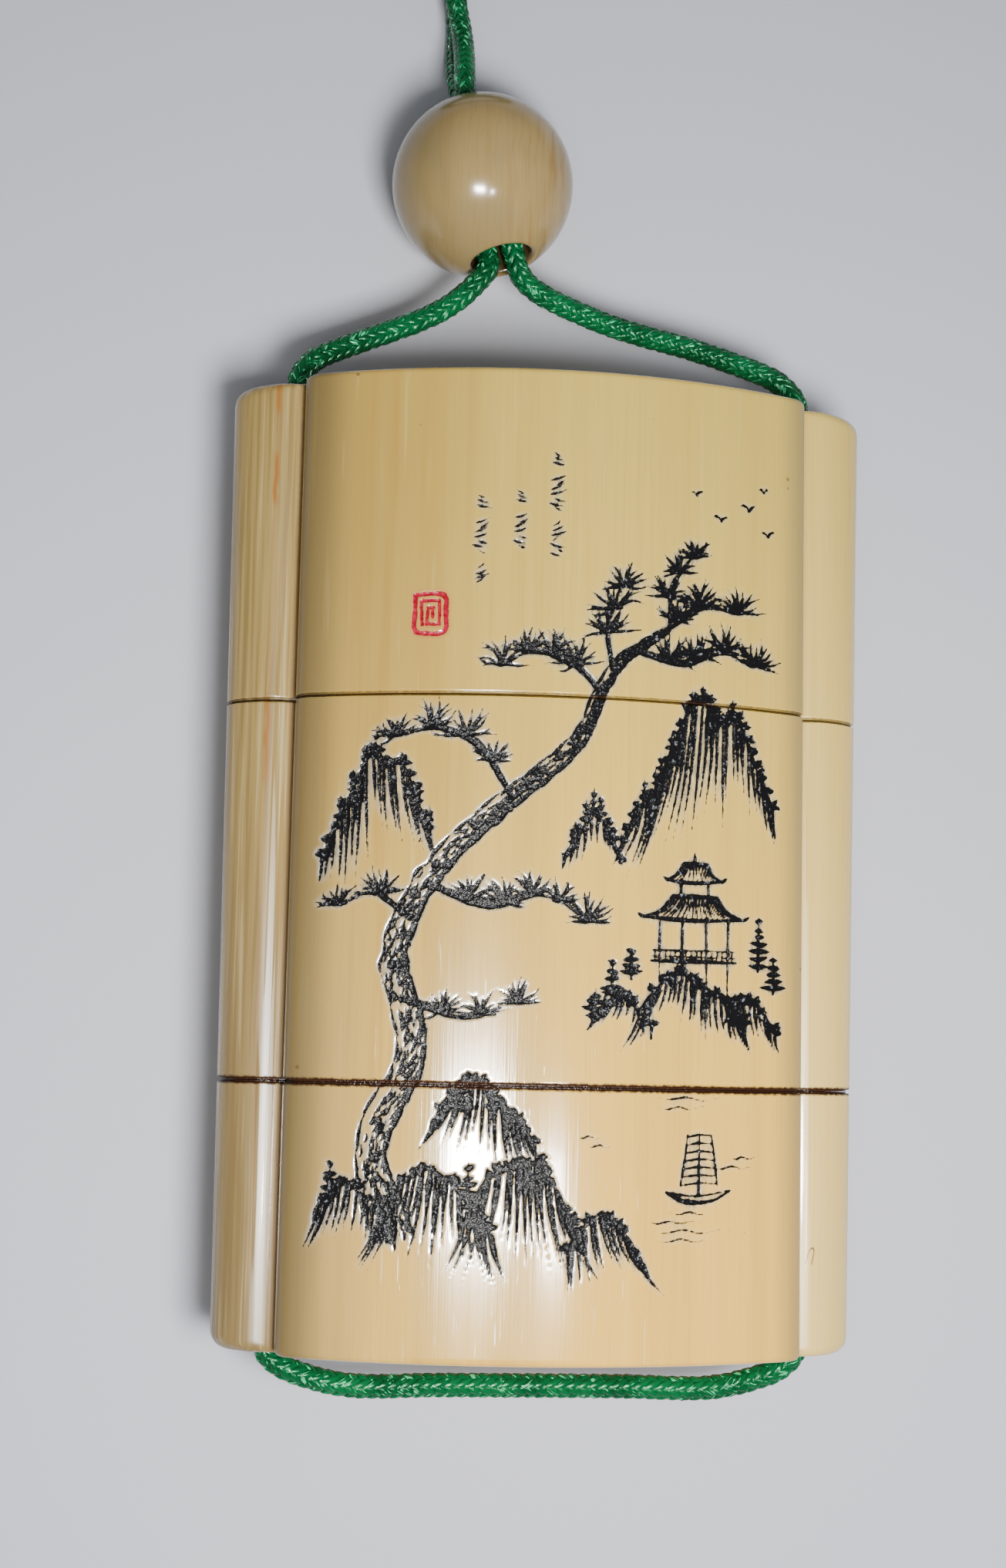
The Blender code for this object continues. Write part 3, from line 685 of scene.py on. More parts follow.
class Value:
    """A node's output that Python's own operators work on, from either side."""

    def __init__(self, tree, socket):
        self.tree = tree
        self.socket = socket

    def maths(self, operation, other=0.0):
        return self.tree.node("ShaderNodeMath", {"operation": operation}, {0: self, 1: other})

    def reflected(self, operation, other):
        return self.tree.node("ShaderNodeMath", {"operation": operation}, {0: other, 1: self})

    def __add__(self, other):
        return self.maths("ADD", other)

    def __sub__(self, other):
        return self.maths("SUBTRACT", other)

    def __rsub__(self, other):
        return self.reflected("SUBTRACT", other)

    def __mul__(self, other):
        return self.maths("MULTIPLY", other)

    def __truediv__(self, other):
        return self.maths("DIVIDE", other)

    def __rtruediv__(self, other):
        return self.reflected("DIVIDE", other)

    def __mod__(self, other):
        return self.maths("FLOORED_MODULO", other)

    def __abs__(self):
        return self.maths("ABSOLUTE")

    __radd__ = __add__
    __rmul__ = __mul__

    def at_least(self, other):
        return self.maths("MAXIMUM", other)

    def at_most(self, other):
        return self.maths("MINIMUM", other)

    def ramp(self, low, high):
        """0 up to low, 1 from high on and smooth between; low may be the greater one."""
        return self.tree.node(
            "ShaderNodeMapRange",
            {"interpolation_type": "SMOOTHSTEP"},
            {"Value": self, "From Min": low, "From Max": high},
        )


class Tree:
    """A node tree to which nodes are added one call at a time."""

    def __init__(self, nodes):
        self.nodes = nodes

    def feed(self, socket, value):
        if isinstance(value, Value):
            self.nodes.links.new(value.socket, socket)
        elif socket.type == "RGBA":
            socket.default_value = (*value, 1.0)
        else:
            socket.default_value = value

    def node(self, kind, settings=None, sockets=None, output=0):
        """A new node: its settings first, then its sockets; gives one of its outputs."""
        made = self.nodes.nodes.new(kind)
        for name, value in (settings or {}).items():
            setattr(made, name, value)
        for name, value in (sockets or {}).items():
            self.feed(made.inputs[name], value)
        return Value(self, made.outputs[output])

    def axes(self, place):
        split = self.node("ShaderNodeSeparateXYZ", None, {0: place})
        return [Value(self, out) for out in split.socket.node.outputs]

    def joined(self, x, y, z):
        return self.node("ShaderNodeCombineXYZ", None, {"X": x, "Y": y, "Z": z})

    def vector(self, operation, first, second, output=0):
        """Vector maths on two vectors, or on a vector and the number that scales it."""
        other = "Scale" if operation == "SCALE" else 1
        return self.node("ShaderNodeVectorMath", {"operation": operation}, {0: first, other: second}, output)


class Finish(Tree):
    """A material around one Principled shader, with its place in metres on the object."""

    def __init__(self, name):
        self.material = bpy.data.materials.new(name)
        self.material.use_nodes = True
        super().__init__(self.material.node_tree)
        self.shader = self.nodes.nodes["Principled BSDF"]
        self.place = self.node("ShaderNodeTexCoord", output="Object")
        self.x, self.y, self.z = self.axes(self.place)

    def surface(self, sockets):
        for name, value in sockets.items():
            self.feed(self.shader.inputs[name], value)

    def inlaid(self, share, sockets):
        """Lays a second surface over the first one where the share is 1."""
        inlay = self.node("ShaderNodeBsdfPrincipled", None, sockets)
        ground = Value(self, self.shader.outputs[0])
        both = self.node("ShaderNodeMixShader", None, {0: share, 1: ground, 2: inlay})
        self.feed(self.nodes.nodes["Material Output"].inputs["Surface"], both)

    def stretched(self, x=1.0, y=1.0, z=1.0):
        """The place drawn out along an axis whose factor is small."""
        return self.joined(self.x * x, self.y * y, self.z * z)

    def leaning(self, angle, along):
        """The place turned about the upright by an angle, then drawn out along the turned Y."""
        sockets = {"Vector": self.place, "Rotation": (0.0, 0.0, angle), "Scale": (1.0, along, 1.0)}
        return self.node("ShaderNodeMapping", None, sockets)

    def noise(self, place, scale, detail=3.0, roughness=0.55):
        sockets = {"Vector": place, "Scale": scale, "Detail": detail, "Roughness": roughness}
        return self.node("ShaderNodeTexNoise", None, sockets)

    def mix(self, share, first, second):
        sockets = {"Factor": share, 6: first, 7: second}
        return self.node("ShaderNodeMix", {"data_type": "RGBA"}, sockets, output=2)

    def laid(self, colour, *coats):
        """Lays further colours over the first one in turn, each of them by its own share."""
        for share, coat in coats:
            colour = self.mix(share, colour, coat)
        return colour

    def bump(self, height, strength, distance, below=None):
        sockets = {"Height": height, "Strength": strength, "Distance": distance}
        if below is not None:
            sockets["Normal"] = below
        return self.node("ShaderNodeBump", None, sockets)

    def mark(self, name):
        """What the mesh itself says at each of its corners."""
        return self.node("ShaderNodeAttribute", {"attribute_name": name}, output="Fac")

    def spot(self, x, y, radius, edge=0.6):
        """1 inside a round spot in millimetres and 0 outside it."""
        across = (self.x - x * MM) / (radius * MM)
        along = (self.y - y * MM) / (radius * MM)
        return (across * across + along * along).ramp(1.0, edge)


GROOVE_AT = 21.86 * MM
WING_FROM = (21.7 * MM, 22.0 * MM)
LONG_STAIN_AT = -24.1 * MM
DIRT_SPOTS = (
    (-17.5, 40.6, 0.22, 0.7),
    (19.9, 33.6, 0.22, 0.6),
    (19.9, 32.8, 0.16, 0.5),
    (-20.7, -17.7, 0.2, 0.9),
    (21.55, -8.6, 0.2, 0.8),
    (-12.2, 36.0, 0.12, 0.4),
    (7.4, 37.2, 0.1, 0.4),
    (-19.0, -3.4, 0.12, 0.4),
    (16.3, -30.4, 0.12, 0.3),
)


def polished_ivory():
    """Cream with long grain along the case, stains, dirt and black ink. It darkens to the left,
    partly its own amber and partly painted shade; painted shade also darkens the lid end, the
    shoulders and the left wing, painted sheen pales the right wing and painted glints fleck the ink.
    """
    skin = Finish("engraved_ivory")
    grain = skin.stretched(y=0.03)
    broad = skin.noise(grain, 330.0, 2.0)
    middle = skin.noise(grain, 1150.0, 3.0)
    fine = skin.noise(skin.stretched(y=0.015), 5200.0, 2.0)
    cloudy = skin.noise(skin.stretched(y=0.4), 110.0, 2.0)
    # leftness darkens the ivory towards the left: partly its own amber, partly painted shade on the side
    # turned from the key.
    leftness = (skin.x + cloudy * (8 * MM)).ramp(6 * MM, -19 * MM)
    # Both colours darken towards the lid end: painted shade where the key over the foot falls off.
    height = skin.y.ramp(-38 * MM, 40 * MM)
    cream = skin.mix(height, (0.80, 0.47, 0.08), (0.57, 0.41, 0.082))
    amber_and_shade = skin.mix(height, (0.60, 0.375, 0.085), (0.37, 0.235, 0.05))
    # Painted shade on the panel's shoulders, where they turn away from the light, darker on the left.
    shoulder = skin.x.ramp(-17.4 * MM, -20.8 * MM) + skin.x.ramp(18.6 * MM, 21.1 * MM)
    shoulder = shoulder * abs(skin.x).ramp(21.9 * MM, 21.7 * MM)
    wing = abs(skin.x).ramp(*WING_FROM)
    # The right wing is painted paler towards the foot, partly paler ivory and partly painted sheen; the left
    # wing is painted darker towards the foot as painted shade.
    left_wing = wing * skin.x.ramp(0.0, -1 * MM)
    right_wing = wing * skin.x.ramp(0.0, 1 * MM)
    wing_lines = skin.noise(skin.stretched(y=0.02), 2300.0, 2.0)
    # Painted shade along the case's left edge, and more of it on the lower left of the panel.
    shaded_far_left = skin.x.ramp(-16.5 * MM, -21.5 * MM)
    shaded_low_left = skin.x.ramp(-13.0 * MM, -17.5 * MM) * skin.y.ramp(4 * MM, -16 * MM)
    shade = skin.mix(skin.x.ramp(1 * MM, -1 * MM), (0.20, 0.165, 0.085), (0.13, 0.09, 0.03))
    # Among these layers the far left, low left, shoulder and left wing darkening are painted shade, and the
    # right wing's paler colour is partly painted sheen.
    colour = skin.laid(
        skin.mix(leftness, cream, amber_and_shade),
        (broad.ramp(0.42, 0.7) * (0.2 + leftness * 0.4), (0.42, 0.25, 0.04)),
        (middle.ramp(0.5, 0.78) * (0.08 + leftness * 0.45), (0.36, 0.20, 0.03)),
        (middle.ramp(0.42, 0.24) * (0.12 + leftness * 0.4), (0.78, 0.60, 0.22)),
        (fine.ramp(0.45, 0.75) * 0.2, (0.38, 0.24, 0.05)),
        (shaded_far_left * 0.45, (0.26, 0.21, 0.09)),
        (shaded_low_left * 0.3, (0.30, 0.22, 0.11)),
        (shoulder * (0.6 + leftness * 0.2), shade),
        (right_wing * (0.75 - height * 0.5), (0.74, 0.56, 0.20)),
        (left_wing * (1.0 - height) * 0.75, (0.18, 0.125, 0.05)),
        (left_wing * wing_lines.ramp(0.48, 0.62) * 0.45, (0.16, 0.10, 0.035)),
        (left_wing * wing_lines.ramp(0.44, 0.32) * 0.3, (0.62, 0.50, 0.26)),
    )

    stain_wave = skin.noise(skin.stretched(y=0.5), 420.0, 2.0) - 0.5
    stain_line = abs(skin.x - LONG_STAIN_AT + stain_wave * (0.9 * MM)) / (0.34 * MM)
    long_stain = (
        skin.y.ramp(37.6 * MM, 39 * MM)
        + skin.y.ramp(29.6 * MM, 31 * MM) * skin.y.ramp(35.2 * MM, 34 * MM)
        + skin.y.ramp(5 * MM, 8 * MM) * skin.y.ramp(14 * MM, 12.9 * MM)
        + skin.y.ramp(-42 * MM, -30 * MM) * 0.3
    )

    crumbs = skin.noise(skin.place, 2600.0, 2.0)
    groove = abs(abs(skin.x) - GROOVE_AT) / (0.3 * MM)
    low_in_groove = abs(skin.z - mid_height).ramp(5.0 * MM, 4.2 * MM)
    colour = skin.laid(
        colour,
        (stain_line.ramp(1.0, 0.2) * long_stain * 0.75, (0.30, 0.12, 0.012)),
        ((groove + crumbs).ramp(1.7, 0.6) * low_in_groove * 0.6, (0.20, 0.10, 0.03)),
        ((groove * 0.3).ramp(1.0, 0.0) * low_in_groove * 0.4, (0.36, 0.22, 0.08)),
    )
    grime = 0.0
    for seam, reach, strength in (
        ((lid_mouth + upper_top) / 2, 0.17, 0.7),
        ((upper_bottom + lower_top) / 2, 0.34, 1.0),
    ):
        gap = abs(skin.y - seam) / (reach * MM)
        caked = (gap + crumbs * 0.9).ramp(1.75, 1.05) * strength
        grime = caked + grime
    for x, y, radius, strength in DIRT_SPOTS:
        colour = skin.mix(skin.spot(x, y, radius, 0.2) * strength, colour, (0.12, 0.06, 0.02))

    hair_x = (skin.x - 23.1 * MM - (skin.y + 32.7 * MM) * 0.25) / (0.26 * MM)
    hair_y = (skin.y + 32.5 * MM) / (0.5 * MM)
    hair = abs((hair_x * hair_x + hair_y.at_least(0.0) * hair_y.at_least(0.0)) - 1.0)
    hair = hair.ramp(0.5, 0.2) * skin.y.ramp(-33.5 * MM, -33.3 * MM) * skin.y.ramp(-31.8 * MM, -31.9 * MM)
    colour = skin.mix(hair * wing * 0.8, colour, (0.10, 0.05, 0.02))

    crust = skin.noise(skin.place, 2900.0, 2.0, 0.6)
    coarse_crust = skin.noise(skin.place, 1700.0, 2.0)
    ragged = (crust - 0.5) * 0.12 + (coarse_crust - 0.5) * 0.1
    ink = skin.mark("ink") + ragged
    seal = skin.mark("seal") + ragged
    wash = skin.mark("wash")
    hatch = skin.noise(skin.stretched(y=0.25), 4200.0, 2.0)
    halo = ink.ramp(0.52, 0.1) * (wash * 1.5).ramp(0.0, 0.6)
    smear = (wash * 1.7).ramp(0.16, 0.8) * ink.ramp(0.5, 0.02) * hatch.ramp(0.34, 0.6)
    colour = skin.laid(
        colour,
        (halo * 0.3, (0.62, 0.60, 0.48)),
        (smear * 0.68, (0.085, 0.088, 0.082)),
        (seal.ramp(0.4, 0.0) * 0.3, (0.52, 0.10, 0.07)),
    )
    red = seal.ramp(0.03, -0.02)
    black = ink.ramp(0.03, -0.015)
    # Pale specks in the ink: partly flaked ink, partly painted glints.
    flakes_and_glints = crust.ramp(0.62, 0.70)
    ink_colour = skin.mix(flakes_and_glints, (0.006, 0.006, 0.007), (0.16, 0.175, 0.195))
    seal_colour = skin.mix(crust.ramp(0.35, 0.65), (0.25, 0.002, 0.012), (0.42, 0.012, 0.04))

    scratches = skin.noise(skin.leaning(0.16, 0.035), 4200.0, 0.0).ramp(0.77, 0.81)
    scratches = scratches + skin.noise(skin.leaning(-1.25, 0.05), 4200.0, 0.0).ramp(0.79, 0.82)
    worn = skin.y.ramp(0 * MM, -20 * MM) * abs(skin.x + 3 * MM).ramp(17 * MM, 6 * MM)
    scratches = scratches * worn * skin.noise(skin.place, 170.0, 1.0).ramp(0.5, 0.6)
    colour = skin.mix(scratches * (1.0 - black) * 0.3, colour, (0.86, 0.78, 0.64))

    streak = skin.noise(skin.stretched(y=0.012), 2600.0, 1.0).ramp(0.56, 0.62)
    dull = (wing * 0.8).at_least(shoulder).at_least(left_wing) * (1.0 - streak * wing)
    swell = skin.bump(skin.noise(grain, 900.0, 2.0), 0.6, 0.008 * MM)
    lines = skin.bump(fine - scratches * 0.8, 0.6, 0.014 * MM, swell)
    skin.surface(
        {
            "Base Color": colour,
            "Roughness": 0.085 + fine * 0.07 + middle * 0.05 + scratches * 0.2 + dull * 0.2 + smear * 0.2,
            "Specular IOR Level": 0.5,
            "Coat Weight": (1.0 - dull) * (1.0 - smear) * 0.5,
            "Coat Roughness": 0.06,
            "Normal": lines,
        }
    )
    skin.inlaid(
        black.at_least(red).at_least(grime),
        {
            "Base Color": skin.mix(grime, skin.mix(red, ink_colour, seal_colour), (0.035, 0.014, 0.007)),
            "Roughness": 0.24 - flakes_and_glints * 0.1,
            "Specular IOR Level": 0.09,
            "Normal": skin.bump(crust * (1.0 - red * 0.6), 1.0, 0.12 * MM, lines),
        },
    )
    return skin.material


ivory = polished_ivory()


def case_section(name, low, high, blind_end, recessed=True, collared=True):
    """One section from its low edge to its high one: a recess below and a collar above where
    it has them, and a compartment from its opening to its blind end."""
    shell = Shell()
    low_seat = low - SEAM_LAND if recessed else low
    high_seat = high + SEAM_LAND if collared else high
    low_holes, high_holes = channels(shell, low_seat, high_seat, not recessed, not collared)
    outer = outer_loops(shell, low_seat, high_seat, not recessed, not collared)
    if recessed:
        opening = low + recess_depth
        foot, rim = inside_tube(shell, RISER_THICKNESS + RISER_CLEARANCE, low_seat, opening)
        low_holes.insert(0, foot)
    if collared:
        if recessed:
            shell.flat(rim)
        opening = high + RISER_HEIGHT
        foot, rim = inside_tube(shell, RISER_THICKNESS, high_seat, opening)
        high_holes.insert(0, foot)
    inside = inside_tube(shell, 0.0, opening, blind_end)
    shell.tube(outer)
    shell.flat(outer[0], low_holes)
    shell.flat(rim, inside[:1])
    shell.flat(inside[1])
    shell.flat(outer[-1], high_holes)
    return add_section(name, shell, ivory)


lid_blind_end = case_top - LID_TOP_THICKNESS
upper_floor = upper_bottom + recess_depth + UPPER_FLOOR_THICKNESS
lower_floor = case_bottom + LOWER_FLOOR_THICKNESS

engraved_lid = case_section("engraved_lid", lid_mouth, case_top, lid_blind_end, collared=False)
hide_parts("lid")
engraved_upper_case = case_section("engraved_upper_case", upper_bottom, upper_top, upper_floor)
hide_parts("upper_case")
engraved_lower_case = case_section(
    "engraved_lower_case", case_bottom, lower_top, lower_floor, recessed=False
)
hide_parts("lower_case")


# The cord is one round braid of sixteen glossy green nylon strands, eight wound each way.
# It runs in the side channels and under the case. Both ends leave the lid, pass through
# the bead and join in a small coil.
CORD_DIAMETER = 2.1 * MM
BRAID_STRANDS = 16
BRAID_PITCH = 7.6 * MM
BRAID_STEP = 0.4 * MM
STRAND_HALF_WIDTH = 0.33 * MM
STRAND_HALF_THICKNESS = 0.17 * MM
STRAND_SIDES = 6
WEAVE_DEPTH = 0.085 * MM
CROSSING_SHARPNESS = 1.7
FILAMENT_SHIFT = 0.37
CORE_SHARE = 0.66 * 1.3
CORE_SIDES = 8
CORD_GAP = 0.3 * MM
LOOP_DROP = 3.1 * MM
LOOP_SAG = 1.0 * MM
LOOP_SHOULDER = 7.2 * MM
BEAD_RADIUS = 8.25 * MM
BEAD_BORE_RADIUS = 2.7 * MM
BEAD_TURN = math.radians(14.0)
BEAD_TILT = math.radians(7.0)
COIL_RADIUS = 12.0 * MM
COIL_TURNS = 1.5
COIL_POINT_TURN = math.radians(22.5)
COIL_CLIMB = (math.radians(225), math.radians(315))
COIL_TOP = 3.2 * MM
FLOOR_CORD = CORD_DIAMETER / 2


def past_lid(x, beyond, height):
    """A place in millimetres across the case, past the lid's end and above the table."""
    return Vector((x * MM, case_top + beyond * MM, height * MM))


bead_centre = past_lid(-6.3, 21.35, 8.25)
bead_axis = Vector(
    (
        math.sin(BEAD_TURN) * math.cos(BEAD_TILT),
        -math.cos(BEAD_TURN) * math.cos(BEAD_TILT),
        math.sin(BEAD_TILT),
    )
)
coil_centre = past_lid(-9.0, 61.5, 0.0)


def strand_in_bead(side):
    """One strand in the bore: beside the other at the case's end, over or under it beyond."""
    level = Vector((math.cos(BEAD_TURN), math.sin(BEAD_TURN), 0.0))
    upward = bead_axis.cross(level)
    apart = (CORD_DIAMETER + CORD_GAP) / 2
    reach = math.sqrt(BEAD_RADIUS**2 - BEAD_BORE_RADIUS**2)
    places = []
    for share in (0.75, 0.4, 0.0, -0.5, -0.9):
        twist = (1 - share) * math.pi / 4
        offset = level * math.cos(twist) + upward * math.sin(twist)
        places.append(bead_centre + bead_axis * (reach * share) + offset * (apart * side))
    return places


def coil_turns():
    """One and a half turns: a lead-in and a round on the table, then up onto it."""
    places = []
    for turn, radius in ((-30, 13.8), (-15, 12.8)):
        place = Vector((math.cos(math.radians(turn)), math.sin(math.radians(turn)), 0.0))
        places.append(coil_centre + place * radius * MM + Vector((0, 0, FLOOR_CORD)))
    steps = round(COIL_TURNS * 2 * math.pi / COIL_POINT_TURN)
    for step in range(steps + 1):
        turn = step * COIL_POINT_TURN
        climbed = min(1.0, max(0.0, (turn - COIL_CLIMB[0]) / (COIL_CLIMB[1] - COIL_CLIMB[0])))
        height = FLOOR_CORD + (COIL_TOP - FLOOR_CORD) * climbed * climbed * (3 - 2 * climbed)
        ring = Vector((math.cos(turn), math.sin(turn), 0.0)) * COIL_RADIUS
        places.append(coil_centre + ring + Vector((0, 0, height)))
    return places


LID_TO_BEAD = (
    (-22.45, 1.2, 11.0), (-22.0, 2.3, 10.8), (-21.3, 3.2, 10.5), (-20.4, 3.9, 10.2),
    (-17.8, 5.35, 9.4), (-13.9, 7.15, 8.9), (-11.3, 8.35, 8.8), (-9.3, 9.5, 8.9),
    (-7.75, 10.75, 9.05), (-6.5, 12.1, 9.2), (-5.65, 13.4, 9.2),
)
BEAD_TO_COIL = (
    (-8.3, 30.6, 5.75), (-8.5, 32.4, 4.6), (-8.55, 34.3, 3.1), (-8.5, 36.3, 1.8), (-8.4, 38.6, 1.1),
    (-8.5, 41.0, 1.05), (-8.5, 43.2, 1.05), (-7.8, 44.9, 1.05), (-6.5, 46.2, 1.05),
    (-4.8, 47.1, 1.05), (-1.5, 48.6, 1.05), (1.3, 51.1, 1.05),
)
COIL_TO_BEAD = (
    (-21.0, 58.0, 3.05), (-20.9, 55.0, 2.2), (-20.3, 52.5, 1.3), (-18.9, 49.9, 1.05),
    (-16.8, 47.9, 1.05), (-14.2, 46.9, 1.25), (-11.8, 46.1, 2.1), (-10.1, 44.6, 3.0),
    (-9.1, 42.4, 3.45), (-8.5, 39.6, 3.6), (-8.2, 37.6, 4.2), (-8.1, 35.6, 5.35),
    (-8.1, 33.6, 6.75), (-8.15, 31.5, 8.0),
)
BEAD_TO_LID = (
    (-3.2, 14.0, 9.2), (-2.75, 12.8, 9.2), (-1.9, 11.8, 9.2), (-0.7, 11.05, 9.1), (0.7, 10.4, 9.0),
    (2.5, 9.75, 8.8), (5.2, 8.8, 8.7), (8.7, 7.9, 8.6), (12.7, 6.9, 8.9), (16.3, 5.7, 9.4),
    (19.3, 4.5, 10.0), (20.5, 3.9, 10.2), (21.3, 3.2, 10.5), (22.0, 2.3, 10.8), (22.45, 1.2, 11.0),
)

FREE_ROUTE = [
    Vector((-CHANNEL_SIDE, case_top, mid_height)),
    *(past_lid(*place) for place in LID_TO_BEAD),
    *strand_in_bead(-1),
    *(past_lid(*place) for place in BEAD_TO_COIL),
    *coil_turns(),
    *(past_lid(*place) for place in COIL_TO_BEAD),
    *reversed(strand_in_bead(1)),
    *(past_lid(*place) for place in BEAD_TO_LID),
    Vector((CHANNEL_SIDE, case_top, mid_height)),
]

down_the_channel = (case_top - 2 * CORD_GAP, 0.0, case_bottom + 6.0 * MM, case_bottom + 2.0 * MM, case_bottom)
half_loop = [Vector((-CHANNEL_SIDE, y, mid_height)) for y in down_the_channel]
for x, drop, sag in (
    (-CHANNEL_SIDE + 0.17 * LOOP_SHOULDER, 0.43, 0.0),
    (-CHANNEL_SIDE + 0.49 * LOOP_SHOULDER, 0.74, 0.2),
    (-CHANNEL_SIDE + LOOP_SHOULDER, 1.0, 0.5),
    (-CHANNEL_SIDE / 3, 1.0, 0.9),
):
    half_loop.append(Vector((x, case_bottom - drop * LOOP_DROP, mid_height - sag * LOOP_SAG)))
HELD_ROUTE = half_loop + [Vector((-v.x, v.y, v.z)) for v in reversed(half_loop)]


def braid_tree():
    """Winds strands about a path: each strand's radius follows its angle, so those of one
    way lie over the others in four columns and under them in the four between."""
    group = bpy.data.node_groups.new("round_braid", "GeometryNodeTree")
    face = group.interface
    face.new_socket("Path", in_out="INPUT", socket_type="NodeSocketGeometry")
    for name, kind in (
        ("Strands", "Int"),
        ("Pitch", "Float"),
        ("Winding Radius", "Float"),
        ("Weave Depth", "Float"),
        ("Strand Half Width", "Float"),
        ("Strand Flatness", "Float"),
        ("Strand Sides", "Int"),
        ("Core Radius", "Float"),
        ("Finish", "Material"),
    ):
        face.new_socket(name, in_out="INPUT", socket_type="NodeSocket" + kind)
    face.new_socket("Cord", in_out="OUTPUT", socket_type="NodeSocketGeometry")
    tree = Tree(group)

    def keep(geometry, name, kind, value):
        settings = {"data_type": kind, "domain": "POINT"}
        sockets = {"Geometry": geometry, "Name": name, "Value": value}
        return tree.node("GeometryNodeStoreNamedAttribute", settings, sockets)

    def circle(sides, radius):
        sockets = {"Resolution": sides, "Radius": radius}
        return tree.node("GeometryNodeCurvePrimitiveCircle", {"mode": "RADIUS"}, sockets)

    def swept(curve, profile):
        sockets = {"Curve": curve, "Profile Curve": profile, "Fill Caps": True}
        return tree.node("GeometryNodeCurveToMesh", None, sockets)

    given = group.nodes.new("NodeGroupInput")
    told = {socket.name: Value(tree, socket) for socket in given.outputs}

    path = tree.node("GeometryNodeMeshToCurve", None, {"Mesh": told["Path"]})
    given_path = {"Geometry": path, "Amount": told["Strands"]}
    strands = tree.node("GeometryNodeDuplicateElements", {"domain": "SPLINE"}, given_path)
    index = Value(tree, strands.socket.node.outputs["Duplicate Index"])
    way = (index % 2.0) * 2.0 - 1.0
    place = (index / 2.0).maths("FLOOR")
    along = tree.node("GeometryNodeSplineParameter", output="Length")
    turn = along / told["Pitch"] * way * (2 * math.pi) + place / told["Strands"] * (4 * math.pi)
    crossing = (turn * 4.0).maths("SINE") * CROSSING_SHARPNESS
    lift = crossing.at_least(-1.0).at_most(1.0) * way * told["Weave Depth"]

    normal = tree.node("GeometryNodeInputNormal")
    tangent = tree.node("GeometryNodeInputTangent")
    sideways = tree.vector("CROSS_PRODUCT", tangent, normal)
    level_part = tree.vector("SCALE", normal, turn.maths("COSINE"))
    side_part = tree.vector("SCALE", sideways, turn.maths("SINE"))
    outward = tree.vector("ADD", level_part, side_part)
    strands = keep(strands, "outward", "FLOAT_VECTOR", outward)
    strands = keep(strands, "along", "FLOAT", along + index * FILAMENT_SHIFT)
    stored = tree.node("GeometryNodeInputNamedAttribute", {"data_type": "FLOAT_VECTOR"}, {"Name": "outward"})
    offset = tree.vector("SCALE", stored, told["Winding Radius"] + lift)
    strands = tree.node("GeometryNodeSetPosition", None, {"Geometry": strands, "Offset": offset})
    strands = tree.node("GeometryNodeSetCurveNormal", {"mode": "FREE"}, {"Curve": strands, "Normal": stored})

    ring = circle(told["Strand Sides"], told["Strand Half Width"])
    flat = tree.joined(told["Strand Flatness"], 1.0, 1.0)
    ring = tree.node("GeometryNodeTransform", None, {"Geometry": ring, "Scale": flat})
    across = tree.node("GeometryNodeSplineParameter", output="Factor")
    wound = swept(strands, keep(ring, "across", "FLOAT", across))
    core = swept(path, circle(CORE_SIDES, told["Core Radius"]))
    whole = tree.node("GeometryNodeJoinGeometry", None, {0: core})
    tree.feed(whole.socket.node.inputs[0], wound)
    whole = tree.node("GeometryNodeSetShadeSmooth", None, {"Geometry": whole})
    whole = tree.node("GeometryNodeRealizeInstances", None, {"Geometry": whole})
    whole = tree.node("GeometryNodeSetMaterial", None, {"Geometry": whole, "Material": told["Finish"]})
    out = group.nodes.new("NodeGroupOutput")
    tree.feed(out.inputs["Cord"], whole)
    return group


def grown(thing, group, sizes):
    """Runs a node group on an object and gives the result as a plain mesh of its own."""
    grower = thing.modifiers.new(group.name, "NODES")
    grower.node_group = group
    for item in group.interface.items_tree:
        if item.in_out == "INPUT" and item.name in sizes:
            grower[item.identifier] = sizes[item.name]
    evaluated = thing.evaluated_get(bpy.context.evaluated_depsgraph_get())
    mesh = bpy.data.meshes.new_from_object(evaluated)
    thing.modifiers.clear()
    bare = thing.data
    thing.data = mesh
    mesh.name = thing.name
    bpy.data.meshes.remove(bare)


def nylon():
    """Glossy green nylon: fine filaments along each strand, darker green between their streaks.
    The streaks' lighter colour is painted sheen, and pale mint dashes on the strands are painted glints.
    """
    finish = Finish("green_nylon_braid")
    along = finish.mark("along")
    across = finish.mark("across")
    filament = finish.noise(finish.joined(along * 900.0, across * 42.0, 0.0), 1.0, 2.0)
    uneven = finish.noise(finish.place, 260.0, 2.0)
    dark = finish.mix(uneven.ramp(0.35, 0.65), (0.002, 0.055, 0.016), (0.003, 0.10, 0.030))
    # The filaments' lighter streaks: painted sheen.
    colour = finish.mix(filament.ramp(0.56, 0.74) * 0.45, dark, (0.01, 0.26, 0.08))
    # Pale mint dashes along the strands: painted glints.
    dashes = finish.joined(along * 1100.0, across * 3.0, 0.0)
    glint = finish.noise(dashes, 1.0, 1.0).ramp(0.62, 0.68)
    colour = finish.mix(glint * 0.7, colour, (0.10, 0.70, 0.32))
    finish.surface(
        {
            "Base Color": colour,
            "Roughness": 0.20 - filament.ramp(0.5, 0.7) * 0.08,
            "Specular IOR Level": 0.4,
            "Specular Tint": (0.40, 1.0, 0.62),
            "Normal": finish.bump(filament, 0.5, 0.02 * MM),
        }
    )
    return finish.material


